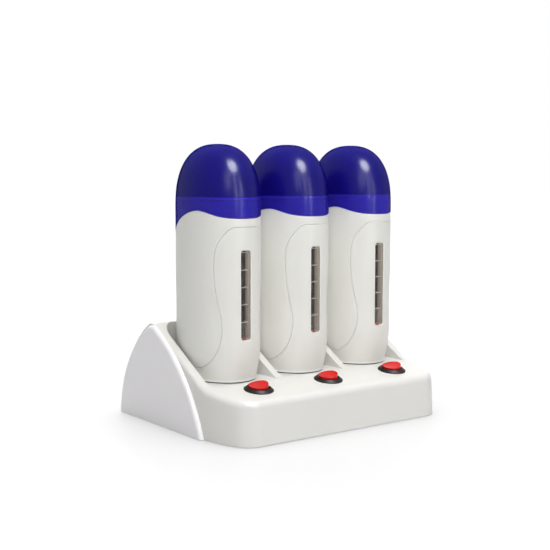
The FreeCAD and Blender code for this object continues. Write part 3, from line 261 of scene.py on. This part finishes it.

# %% [markdown]
# ## The white shells
#
# The casings, the dock and its two side cheeks are all moulded in ABS, but not in one tool and not
# from one batch, so their whites differ. The casings are warm and satin, the dock is a little
# greyer and smoother, and the cheeks are cooler. A clean white plastic has a base colour well
# under full white, since full white leaves no room for light and shade.

# %% Plastic of the shells
# Satin moulded ABS: a soft, wide highlight. The real grain of about 0.1 mm would not show, so it
# is drawn 0.9 mm across, and the same goes for the grains below.
# Painted light: a pale highlight on the casing's edges, shade in its gaps, and the shadow line and
# highlight band at its foot.
materials["casing_plastic"] = plastic(
    "ABS moulded satin warm white", "#e4e4df", "#e8e7e2", rough=0.4, grain_mm=0.9,
    grain_deep_mm=0.01, coat=0.05, edge_mm=0.9, crevice=0.75, edge_highlight="#fbfbf7", paint=foot_shadow_and_highlight,
    more={"Specular IOR Level": 0.3})
# ABS from a smoother mould: long, faint waves in the gloss, and strong painted shade in the gaps
# round the switches.
materials["dock_plastic"] = plastic(
    "ABS moulded gloss white", "#dfdeda", "#e3e2de", rough=0.34, grain_mm=2.4,
    grain_deep_mm=0.006, edge_mm=0.7, crevice=0.3, more={"Specular IOR Level": 0.3})
# ABS from another batch: the cooler, brighter white sets the cheeks off from the dock.
# Painted light: a white highlight on its edges, and painted shade in its gaps.
materials["cheek_plastic"] = plastic(
    "ABS moulded satin cool white", "#f3f1f3", "#f5f3f5", rough=0.36, grain_mm=1.2,
    grain_deep_mm=0.01, coat=0.05, edge_mm=0.5, edge_highlight="#ffffff", more={"Specular IOR Level": 0.3})
print("shells:", [material.name for material in materials.values()])

# %% [markdown]
# ## Dark parts
#
# The switch housings, the thermal cut-outs, the contact blocks and the feet are black or nearly
# so. Black plastic shows its shape by its gloss alone, so what differs between these parts is how
# rough they are and how coarse their grain is. The boards are paper laminate, tan and dull.

# %% Dark plastics, laminate and rubber
# Nylon with a low reflection: the bezels stay black beside the red rockers.
materials["switch_plastic"] = plastic(
    "Nylon moulded gloss black", "#111211", "#161716", rough=0.42, grain_mm=0.8,
    grain_deep_mm=0.006, more={"Specular IOR Level": 0.15})
# Phenolic resin holds mineral powder, which gives a brownish, dull black.
materials["thermostat_plastic"] = plastic(
    "Phenolic moulded black", "#1d1c1b", "#252321", rough=0.5, grain_mm=0.3, grain_deep_mm=0.03)
# Matt nylon from an etched mould: an even, soft black.
materials["block_plastic"] = plastic(
    "Nylon moulded matt black", "#191a1a", "#202121", rough=0.45, grain_mm=0.3,
    grain_deep_mm=0.03)
# Pressed paper in resin: tan, with faint fibres.
materials["board_laminate"] = plastic(
    "Paper laminate board tan", "#a88b52", "#b2965c", rough=0.5, grain_mm=0.25,
    grain_deep_mm=0.03)
# Moulded rubber: the dullest part, a dark grey that hardly shines.
materials["foot_rubber"] = plastic(
    "Rubber moulded grey black", "#2a2a2a", "#303030", rough=0.75, grain_mm=0.4,
    grain_deep_mm=0.06)
print(len(materials), "materials so far")

# %% [markdown]
# ## Red parts
#
# The rockers are polished polycarbonate in a strong red, so they take a small, sharp highlight.
# The indicator lamps are cast in clear red epoxy, and light passes through them. Their tips, which
# show behind the windows, are the same resin with a lamp lit behind it, so they glow faintly.

# %% Red plastics
# Polished polycarbonate: saturated red, with its reflection held low so that it stays red.
materials["rocker_plastic"] = plastic(
    "Polycarbonate moulded red", "#cc0805", "#d20d08", rough=0.16, grain_mm=0.8,
    grain_deep_mm=0.004, edge_mm=0.3, more={"Specular IOR Level": 0.2, "IOR": 1.4})
# Clear red epoxy: half of the light goes through it.
materials["lamp_plastic"] = plastic(
    "Epoxy cast red", "#d02018", "#d8281e", rough=0.15, grain_mm=0.4, grain_deep_mm=0.01,
    more={"Transmission Weight": 0.5})
# The same epoxy, lit: a dark red body that glows enough to be seen in the shade of its channel.
materials["lamp_glow"] = plastic(
    "Epoxy cast red lit", "#a00806", "#b00c08", rough=0.15, grain_mm=0.4, grain_deep_mm=0.01,
    more={"Emission Color": "#e8140a", "Emission Strength": 0.12})
print(len(materials), "materials so far")

# %% [markdown]
# ## Bare metals
#
# Metal shows how it was formed. Sheet that was drawn into a deep pocket, a case that was extruded
# and pins from drawn bar all have fine marks that run along them. The marks are a noise that a
# Mapping node stretches along one axis, and they change both the gloss and the bump. Scratches
# could be modelled or taken from an image, but these are finer than a mesh could hold. In the
# heating chambers old wax has burned on as a brown film, in spots.

# %% Metals
MARK_GLOSS = 0.08
MARK_STRENGTH, MARK_DEEP_MM = 0.2, 0.02
FILM_SPOT_MM, FILM_FULL, FILM_GONE = 6, 0.42, 0.6


def metal(name, base, rough, marks_mm, stretch=(1, 1, 1), film=None):
    """A bare metal with forming marks, and spots of old wax where a film's colour is given."""
    material, tree, place = start_material(name)
    drawn = add(tree, "Mapping", {"Vector": place, "Scale": stretch}).outputs["Vector"]
    marks = add(tree, "TexNoise", {"Vector": drawn, "Scale": cells(marks_mm), "Detail": 5.0})
    tone = base
    if film:
        spots = add(tree, "TexNoise", {"Vector": place, "Scale": cells(FILM_SPOT_MM),
                                       "Detail": 4.0})
        bare = add(tree, "MapRange", {"Value": spots.outputs["Fac"],
                                      "From Min": FILM_FULL, "From Max": FILM_GONE})
        tone = layers(tree, [("filmed", bare.outputs["Result"], film, base)])
    gloss = add(tree, "MapRange", {"Value": marks.outputs["Fac"],
                                   "To Min": rough - MARK_GLOSS, "To Max": rough + MARK_GLOSS})
    bump = add(tree, "Bump", {"Height": marks.outputs["Fac"], "Strength": MARK_STRENGTH,
                              "Distance": mm(MARK_DEEP_MM)})
    shader = add(tree, "BsdfPrincipled", {
        "Base Color": tone, "Metallic": 1.0, "Roughness": gloss.outputs["Result"],
        "Normal": bump.outputs["Normal"]})
    add(tree, "OutputMaterial", {"Surface": shader.outputs["BSDF"]})
    return material


# Drawn aluminium sheet under burned wax: upright streaks, brown with a dull sheen.
materials["chamber_aluminium"] = metal(
    "Aluminium drawn sheet", "#6c4a45", 0.5, 0.8, stretch=(1, 1, 0.1), film="#2c1411")
# Extruded aluminium case round the heating ceramic: grey, with straight die lines.
materials["heater_ceramic"] = metal(
    "Aluminium extruded heater case", "#9a9a9c", 0.42, 0.6, stretch=(1, 1, 0.1))
# Turned brass: bright yellow, with the fine lines of the bar that it was turned from.
materials["contact_brass"] = metal("Brass turned", "#c9a455", 0.28, 0.2, stretch=(1, 1, 0.2))
# Zinc plate on steel: a cold grey that is a little cloudy.
materials["screw_steel"] = metal("Steel zinc plated", "#a9abad", 0.32, 0.25)
# Nickel plate on brass: warmer and smoother than zinc, since it has to make contact.
materials["pin_plating"] = metal("Brass nickel plated", "#c9c6bd", 0.25, 0.3, stretch=(1, 0.1, 1))
print(len(materials), "materials so far")

# %% [markdown]
# ## Translucent blue caps
#
# The caps are moulded in dyed polycarbonate with a wall of about two millimetres that lets some
# light through. Behind the skirt stands the heater's white neck, so the skirt looks lighter than
# the hollow dome, and a thin bright line shows where the neck ends. Light that is traced through
# such a wall takes long and stays noisy, so most of the cap is an opaque shader in the colours
# that the eye sees: the lighter skirt and the bright line are painted light. Its two blues are
# soft clouds in the dome and upright flow lines in the skirt.

# %% Colours of the caps
NECK_TOP = 173.0
LINE_LOW, LINE_HIGH, LINE_SOFT = -0.3, 0.9, 0.3  # the bright line, from the neck's top
CLOUD_MM, STREAK_MM = 28, 7
FLOW = (1.0, 1.0, 0.12)  # a pattern squeezed like this runs upright


def cap_colours(tree, place, cloud):
    """Blue, with painted light: lighter where the white neck stands behind it, and a bright line
    at its top.
    """
    height = add(tree, "SeparateXYZ", {0: place}).outputs["Z"]
    upright = add(tree, "Mapping", {"Vector": place, "Scale": FLOW}).outputs["Vector"]
    streaks = add(tree, "TexNoise", {"Vector": upright, "Scale": cells(STREAK_MM), "Detail": 2.0})
    over = add(tree, "MapRange", {"Value": height, **around(NECK_TOP)})
    line = band(tree, height, NECK_TOP + LINE_LOW, NECK_TOP + LINE_HIGH, LINE_SOFT)
    # Painted light: the lighter skirt and the bright line stand in for the white neck behind the
    # wall.
    return layers(tree, [
        ("dome", cloud, "#140d7a", "#1a1288"),
        ("skirt", streaks.outputs["Fac"], "#2a20a4", "#3a30bc"),
        ("both", over.outputs["Result"], "skirt", "dome"),
        ("lined", line, "both", "#3c32be")])


print("the caps are lighter below", NECK_TOP, "mm")

# %% [markdown]
# About a third of the cap is a Refraction shader, so that what stands behind still shows, and a
# Volume Absorption gives the dye's blue to all that passes through the wall.
#
# A glossy dome in a white room turns grey towards its outline, because it mirrors the room there.
# In a studio black cards beside it prevent that. Here the Facing value of a Layer Weight node
# lowers the gloss where the surface turns away.

# %% Translucent blue cap plastic
RIPPLE_MM, RIPPLE_STRENGTH, RIPPLE_DEEP_MM = 16, 0.12, 0.3
CAP_ROUGH_LOW, CAP_ROUGH_HIGH = 0.26, 0.32
SHEEN, SKIN, SKIN_LEFT = 0.12, 0.2, 0.03
TURNS_FROM, SHEEN_GONE, SKIN_GONE = 0.35, 0.75, 0.8
CAP_IOR, CLEAR_IOR = 1.4, 1.3  # polycarbonate has 1.58, which mirrors and bends too much here
CLEAR_SHARE = 0.35
DYE_DENSITY = 1000.0  # per metre of wall


def cap_plastic():
    """Dyed polycarbonate: milky blue with a polished skin, and partly clear."""
    material, tree, place = start_material("Polycarbonate moulded translucent blue")
    cloud = add(tree, "TexNoise", {"Vector": place, "Scale": cells(CLOUD_MM),
                                   "Detail": 2.0}).outputs["Fac"]
    body = cap_colours(tree, place, cloud)
    gloss = add(tree, "MapRange", {"Value": cloud, "To Min": CAP_ROUGH_LOW,
                                   "To Max": CAP_ROUGH_HIGH})
    turned = add(tree, "LayerWeight", {"Blend": 0.5}).outputs["Facing"]
    sheen = add(tree, "MapRange", {"Value": turned, "From Min": TURNS_FROM,
                                   "From Max": SHEEN_GONE, "To Min": SHEEN, "To Max": 0.0})
    skin = add(tree, "MapRange", {"Value": turned, "From Min": TURNS_FROM,
                                  "From Max": SKIN_GONE, "To Min": SKIN, "To Max": SKIN_LEFT})
    upright = add(tree, "Mapping", {"Vector": place, "Scale": FLOW}).outputs["Vector"]
    ripple = add(tree, "TexNoise", {"Vector": upright, "Scale": cells(RIPPLE_MM), "Detail": 1.0})
    bump = add(tree, "Bump", {"Height": ripple.outputs["Fac"], "Strength": RIPPLE_STRENGTH,
                              "Distance": mm(RIPPLE_DEEP_MM)}).outputs["Normal"]
    milky = add(tree, "BsdfPrincipled", {
        "Base Color": body, "Roughness": gloss.outputs["Result"], "IOR": CAP_IOR, "Normal": bump,
        "Specular IOR Level": sheen.outputs["Result"], "Coat Weight": skin.outputs["Result"],
        "Coat Roughness": 0.2})
    clear = add(tree, "BsdfRefraction", {"Color": "#ffffff", "IOR": CLEAR_IOR,
                                         "Roughness": 0.06, "Normal": bump})
    mix = add(tree, "MixShader", {0: CLEAR_SHARE, 1: milky.outputs["BSDF"],
                                  2: clear.outputs["BSDF"]})
    dye = add(tree, "VolumeAbsorption", {"Color": "#0808f0", "Density": DYE_DENSITY})
    add(tree, "OutputMaterial", {"Surface": mix.outputs["Shader"],
                                 "Volume": dye.outputs["Volume"]})
    return material


materials["cap_plastic"] = cap_plastic()
print("clear share of the caps:", CLEAR_SHARE)

# %% [markdown]
# ## The level windows
#
# Each heater has a narrow window, moulded in clear polystyrene. Its front is a polished pane.
# Behind the pane runs a channel whose side walls are frosted, with frosted marks across it, so
# that the level of the wax can be read. The marks are plain lines, at equal steps.
#
# All of this is one piece in the CAD model, so masks split it by place: how far back a point is,
# how far from the channel's middle, and how high over the window's foot. Wrapping X by the
# pitch of the heaters gives all three windows the same middle. The clear part is transparent with
# a little polish, because true refraction needs many more light bounces in so narrow a channel.

# %% Masks of the windows
UNIT_PITCH = 65.0
WINDOW_FOOT, MARK_PITCH, MARK_WIDTH = 69.7, 12.8, 0.6
PANE_BACK, WALL_INSIDE, FROST_END = -38.9, 3.1, -34.9
FOOT_HAZE = 0.25  # the lowest field is slightly dull all over


def window_masks(tree, axes):
    """Where the window is frosted, where its marks are, and where its deep end is."""
    half = mm(UNIT_PITCH / 2)
    local = add(tree, "Math", {"operation": "WRAP", 0: axes["X"], 1: half, 2: -half})
    beside = add(tree, "Math", {"operation": "ABSOLUTE", 0: local.outputs["Value"]})
    level = add(tree, "Math", {"operation": "SUBTRACT", 0: axes["Z"], 1: mm(WINDOW_FOOT)})
    step = add(tree, "Math", {"operation": "FLOORED_MODULO", 0: level.outputs["Value"],
                              1: mm(MARK_PITCH)})
    marks = add(tree, "Math", {"operation": "LESS_THAN", 0: step.outputs["Value"],
                               1: mm(MARK_WIDTH)}).outputs["Value"]
    lowest = add(tree, "Math", {"operation": "LESS_THAN", 0: level.outputs["Value"],
                                1: mm(MARK_PITCH)})
    haze = add(tree, "Math", {"operation": "MULTIPLY", 0: lowest.outputs["Value"], 1: FOOT_HAZE})
    walls = add(tree, "MapRange", {"Value": beside.outputs["Value"], **around(WALL_INSIDE, 0.05)})
    behind = add(tree, "MapRange", {"Value": axes["Y"], **around(PANE_BACK, 0.05)})
    deep = add(tree, "MapRange", {"Value": axes["Y"], **around(FROST_END, 0.3)})
    frost = walls.outputs["Result"]
    for operation, other in (("MAXIMUM", marks), ("MAXIMUM", haze.outputs["Value"]),
                             ("MULTIPLY", behind.outputs["Result"])):
        frost = add(tree, "Math", {"operation": operation, 0: frost, 1: other}).outputs["Value"]
    return frost, marks, deep.outputs["Result"]


print("marks every", MARK_PITCH, "mm from", WINDOW_FOOT, "mm up")

# %% [markdown]
# The frosted walls are painted as they look in the room's light: greyish cream, paler towards the
# top. Deep in the channel they are painted dark, for the shade there and the brown chamber close
# behind, and only the marks stay visible. Frosted plastic also passes light on inside itself,
# which a faint emission near the front stands in for, as a painted glow.

# %% Clear window plastic with frosted walls and marks
PALE_FROM, PALE_TO = 70, 125
FROST_SPOT_MM = 3
WALL_GLOW = 0.2
FROST_ROUGH_LOW, FROST_ROUGH_HIGH = 0.35, 0.5
CLEAR_VEIL, FROST_VEIL = 0.01, 0.97  # how much of the frosted shader shows
PANE_POLISH = 0.02


def window_plastic():
    """Polystyrene: a polished pane, and a channel behind it with frosted walls and marks."""
    material, tree, place = start_material("Polystyrene moulded clear and frosted")
    axes = add(tree, "SeparateXYZ", {0: place}).outputs
    frost, marks, deep = window_masks(tree, axes)
    blur = add(tree, "TexNoise", {"Vector": place, "Scale": cells(FROST_SPOT_MM),
                                  "Detail": 3.0}).outputs["Fac"]
    pale = add(tree, "MapRange", {"Value": axes["Z"], "From Min": mm(PALE_FROM),
                                  "From Max": mm(PALE_TO)}).outputs["Result"]
    # Painted light and shade: the walls paler towards the top, and dark deep in the channel.
    tone = layers(tree, [
        ("dim", pale, "#a59b94", "#bab5b0"),
        ("bright", pale, "#b9b0a8", "#cdc9c4"),
        ("wall", blur, "dim", "bright"),
        ("near", marks, "wall", "#c6bdb7"),
        ("far", marks, "#3a302c", "#8d8580"),
        ("all", deep, "near", "far")])
    # A painted glow near the front, for light carried inside the frosted plastic.
    lit = add(tree, "MapRange", {"Value": deep, "To Min": WALL_GLOW, "To Max": 0.0})
    gloss = add(tree, "MapRange", {"Value": blur, "To Min": FROST_ROUGH_LOW,
                                   "To Max": FROST_ROUGH_HIGH})
    veil = add(tree, "MapRange", {"Value": frost, "To Min": CLEAR_VEIL, "To Max": FROST_VEIL})
    polish = add(tree, "BsdfGlossy", {"Color": "#ffffff", "Roughness": 0.06})
    glass = add(tree, "BsdfTransparent", {"Color": "#f4f2ee"})
    clear = add(tree, "MixShader", {0: PANE_POLISH, 1: glass.outputs["BSDF"],
                                    2: polish.outputs["BSDF"]})
    frosted = add(tree, "BsdfPrincipled", {
        "Base Color": tone, "Roughness": gloss.outputs["Result"], "Specular IOR Level": 0.3,
        "Emission Color": "#cfc8c2", "Emission Strength": lit.outputs["Result"]})
    mix = add(tree, "MixShader", {0: veil.outputs["Result"], 1: clear.outputs["Shader"],
                                  2: frosted.outputs["BSDF"]})
    add(tree, "OutputMaterial", {"Surface": mix.outputs["Shader"]})
    return material


materials["clear_plastic"] = window_plastic()
print(len(materials), "materials in all")

# %% [markdown]
# ## Dress the CAD model
#
# The CAD model names a material slot for each of its nodes, such as casing_plastic. Each slot now
# gets the material of that name, so a change to one material reaches every piece that is made of
# it. No mesh is touched.

# %% Give every CAD node its material
for entry in frame["record"]["subparts"]:
    node = frame["nodes"][entry["node"]]
    for slot in node.material_slots:
        slot.material = materials[entry["material_slot"]]

# %% [markdown]
# ## Lamp tips
#
# A small red lamp lights the foot of each window. Its tip reaches into the window's channel, a
# little to one side, and shows there as a red glint. A real tip is a dome on a short stem, cast in
# clear epoxy.
#
# It could be spun from a profile, but it isn't round from above: it is flattened to fit the
# channel. So it starts as a sphere that is squeezed to its size. A plane just under its middle
# cuts the lower half off and closes the cut, and the new face is extruded down as the stem.

# %% Model one lamp tip
TIP_RADIUS, TIP_FLAT, TIP_CROWN = 1.6, 0.28, 0.45
TIP_SIDE, TIP_FRONT, TIP_HEIGHT = -1.4, -40.2, 70.4
STEM_TOP, STEM_LENGTH = 0.15, 0.25
TIP_SMOOTH_DEG = 40

centre = Vector((TIP_SIDE - UNIT_PITCH, TIP_FRONT, TIP_HEIGHT)) / 1000
bpy.ops.object.select_all(action="DESELECT")
bpy.ops.mesh.primitive_uv_sphere_add(segments=24, ring_count=12, radius=mm(TIP_RADIUS),
                                     location=centre)
tips = [bpy.context.active_object]
tips[0].name = "lamp_tip_1"
tips[0].scale = (1.0, TIP_FLAT, TIP_CROWN)
bpy.ops.object.transform_apply(location=True, rotation=False, scale=True)
bpy.ops.object.mode_set(mode="EDIT")
bpy.ops.mesh.select_all(action="SELECT")
bpy.ops.mesh.bisect(plane_co=centre - Vector((0, 0, mm(STEM_TOP))), plane_no=(0, 0, 1),
                    use_fill=True, clear_inner=True)
bpy.ops.mesh.extrude_region_move(TRANSFORM_OT_translate={"value": (0, 0, -mm(STEM_LENGTH))})
bpy.ops.mesh.select_all(action="SELECT")
bpy.ops.mesh.normals_make_consistent(inside=False)
bpy.ops.object.mode_set(mode="OBJECT")
bpy.ops.object.shade_smooth_by_angle(angle=math.radians(TIP_SMOOTH_DEG))
tips[0].data.materials.append(materials["lamp_glow"])
print("one tip in mm:", [round(1000 * side, 2) for side in tips[0].dimensions])

# %% [markdown]
# The other two tips are copies, one and two pitches along. Each copy has its own mesh, and its
# move is applied to that mesh, so that all three objects stay at the origin as the CAD nodes do.
# Each tip rides on its own heater, and so leaves the dock with it.

# %% Copy the tip and hang each on its heater
for unit in (2, 3):
    bpy.ops.object.duplicate_move(TRANSFORM_OT_translate={"value": (mm(UNIT_PITCH), 0, 0)})
    bpy.ops.object.transform_apply(location=True, rotation=False, scale=False)
    tips.append(bpy.context.active_object)
    tips[-1].name = f"lamp_tip_{unit}"
for unit, tip in enumerate(tips, start=1):
    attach(tip, f"handheld_{unit}")
print("tips:", [tip.name for tip in tips], "on", len({tip.data.name for tip in tips}), "meshes")

# %% [markdown]
# ## Camera
#
# The camera stands in front of the dock and to its left, at about the height of the caps, and
# looks slightly down. From there all three windows and switches show, and one cheek. A long lens
# from further away keeps the upright edges nearly parallel, as in most pictures of products.

# %% Camera
CAMERA_PLACE = (-0.5212, -0.6912, 0.1974)
LOOK_DOWN_DEG, LOOK_ASIDE_DEG = 5.73, 36.55
SENSOR_MM, LENS_MM = 36.0, 71.75

camera_data = bpy.data.cameras.new("Camera")
camera_data.sensor_fit = "HORIZONTAL"
camera_data.sensor_width = SENSOR_MM
camera_data.lens = LENS_MM
camera = bpy.data.objects.new("Camera", camera_data)
bpy.context.collection.objects.link(camera)
camera.location = CAMERA_PLACE
camera.rotation_euler = (math.radians(90 - LOOK_DOWN_DEG), 0.0, math.radians(-LOOK_ASIDE_DEG))
bpy.context.scene.camera = camera
bpy.context.scene.view_settings.view_transform = "Standard"
print("camera", round(camera.location.length, 3), "m from the dock's middle")

# %% [markdown]
# ## Floor
#
# The dock stands on white studio paper. A picture on pure white could be had with more light, but
# that would bleach the object too. Instead the paper is lit as it is, and only rays that come
# straight from the camera, or by a mirror or through glass, see it as white. A Light Path node
# tells these rays apart.

# %% Rays that see the background
def background_rays(tree):
    """1 for the rays that show a background: from the camera, off a gloss and through glass."""
    path = add(tree, "LightPath").outputs
    seen = path["Is Camera Ray"]
    for kind in ("Is Glossy Ray", "Is Transmission Ray"):
        seen = add(tree, "Math", {"operation": "MAXIMUM", 0: seen, 1: path[kind]}).outputs["Value"]
    return seen


print("the background is white to rays of three kinds")

# %% [markdown]
# Near the object the paper keeps a share of its own shading, so that the real shadow shows, and
# an Ambient Occlusion node deepens it where the dock stands. Further out it is plain white. The
# floor is a plain sheet, so it is the one thing here that stays a primitive.

# %% Floor
FLOOR_SIZE = 12.0
FIBRE_MM, FIBRE_STRENGTH, FIBRE_DEEP_MM = 1.5, 0.05, 0.1
SHADOW_REACH_MM = 90
SKY_CLOSED, SKY_OPEN = 0.3, 0.95
SHADOW_DARK, PAPER_WHITE = 0.8, 1.14  # the paper's brightness beside the dock and in the open
PLAIN_FROM, PLAIN_TO, NEAR_SHARE = 0.17, 0.5, 0.6  # metres from the middle, and the white there

bpy.ops.object.select_all(action="DESELECT")
bpy.ops.mesh.primitive_plane_add(size=FLOOR_SIZE, location=(0, 0, 0))
floor = bpy.context.active_object
floor.name = "floor"
# Smooth studio paper: a faint sheen, with fibres drawn 1.5 mm across so as to show at all.
sheet, tree, place = start_material("Studio paper white")
fibre = add(tree, "TexNoise", {"Vector": place, "Scale": cells(FIBRE_MM), "Detail": 3.0})
bump = add(tree, "Bump", {"Height": fibre.outputs["Fac"], "Strength": FIBRE_STRENGTH,
                          "Distance": mm(FIBRE_DEEP_MM)})
paper = add(tree, "BsdfPrincipled", {"Base Color": "#cbcbcb", "Roughness": 0.3,
                                     "Normal": bump.outputs["Normal"]})
# Painted shadow: the paper's white is darkened where the dock stands.
sky = add(tree, "AmbientOcclusion", {"samples": 8, "Distance": mm(SHADOW_REACH_MM)})
glow = add(tree, "MapRange", {"Value": sky.outputs["AO"], "From Min": SKY_CLOSED,
                              "From Max": SKY_OPEN, "To Min": SHADOW_DARK,
                              "To Max": PAPER_WHITE})
white = add(tree, "Emission", {"Color": "#ffffff", "Strength": glow.outputs["Result"]})
away = add(tree, "VectorMath", {"operation": "LENGTH", 0: place}).outputs["Value"]
plain = add(tree, "MapRange", {"Value": away, "From Min": PLAIN_FROM, "From Max": PLAIN_TO,
                               "To Min": NEAR_SHARE, "To Max": 1.0})
share = add(tree, "Math", {"operation": "MULTIPLY", 0: background_rays(tree),
                           1: plain.outputs["Result"]})
mix = add(tree, "MixShader", {0: share.outputs["Value"], 1: paper.outputs["BSDF"],
                              2: white.outputs["Emission"]})
add(tree, "OutputMaterial", {"Surface": mix.outputs["Shader"]})
floor.data.materials.append(sheet)
print("floor", [round(side, 1) for side in floor.dimensions[:2]], "m")

# %% [markdown]
# ## Lights
#
# A large key light hangs in front and to the left, and wide soft lights from above, in front, the
# left and behind fill the shadows, because a white product in hard light shows burned spots and
# black gaps. Their white patches would cover the caps, so all but the key are hidden from gloss.
#
# The highlights on the caps come from three lights of their own, a round one like an umbrella
# and two narrow strips, which light nothing else. Splitting light and shine in this way is the
# quick counterpart of moving cards and lamps about until the gloss looks right.

# %% Lights
# Name, place in metres, height that it faces, sides in metres, watts, and what it is for.
LAMPS = (
    ("key", (-0.9, -1.48, 1.1), 0.1, (0.8, 1.0), 15.5, "light and shine"),
    ("top", (0.05, 0.05, 1.5), 0.1, (1.2, 1.0), 20.5, "light"),
    ("front", (0.1, -0.75, 1.35), 0.15, (0.6, 0.6), 4, "light"),
    ("left", (-1.6, -0.4, 0.8), 0.1, (1.0, 1.0), 1, "light"),
    ("back", (0.7, 1.5, 0.9), 0.1, (1.2, 1.0), 18, "light"),
    ("umbrella", (0.02, -0.78, 1.3), 0.15, (0.7, 0.7), 66, "shine"),
    ("strip_left", (-0.1, -1.45, 0.6), 0.15, (0.06, 0.9), 8, "shine"),
    ("strip_right", (0.4, -1.35, 0.5), 0.15, (0.06, 0.9), 8, "shine"),
)
for name, place, height, sides, watts, job in LAMPS:
    data = bpy.data.lights.new(name, "AREA")
    data.shape = "DISK" if name == "umbrella" else "RECTANGLE"
    data.size, data.size_y = sides
    data.energy = watts
    lamp = bpy.data.objects.new(name, data)
    bpy.context.collection.objects.link(lamp)
    lamp.location = place
    aim = Vector((0, 0, height)) - Vector(place)
    lamp.rotation_euler = aim.to_track_quat("-Z", "Y").to_euler()
    lamp.visible_glossy = "shine" in job
    lamp.visible_diffuse = "light" in job
print(len(LAMPS), "lights,", sum(row[4] for row in LAMPS if "light" in row[5]), "W on the object")

# %% [markdown]
# The room around is white only where it is seen, as the floor is. To all other rays it is nearly
# black, with just enough light to open the deepest shadows, because an even white room would take
# the shape out of the white shells.

# %% World
ROOM_FILL, ROOM_WHITE = 0.03, 1.0

world = bpy.data.worlds.new("Studio")
bpy.context.scene.world = world
world.use_nodes = True
tree = world.node_tree
tree.nodes.clear()
fill = add(tree, "Background", {"Color": "#ffffff", "Strength": ROOM_FILL})
white = add(tree, "Background", {"Color": "#ffffff", "Strength": ROOM_WHITE})
mix = add(tree, "MixShader", {0: background_rays(tree), 1: fill.outputs["Background"],
                              2: white.outputs["Background"]})
add(tree, "OutputWorld", {"Surface": mix.outputs["Shader"]})
print("room: white in view, fill of", ROOM_FILL)
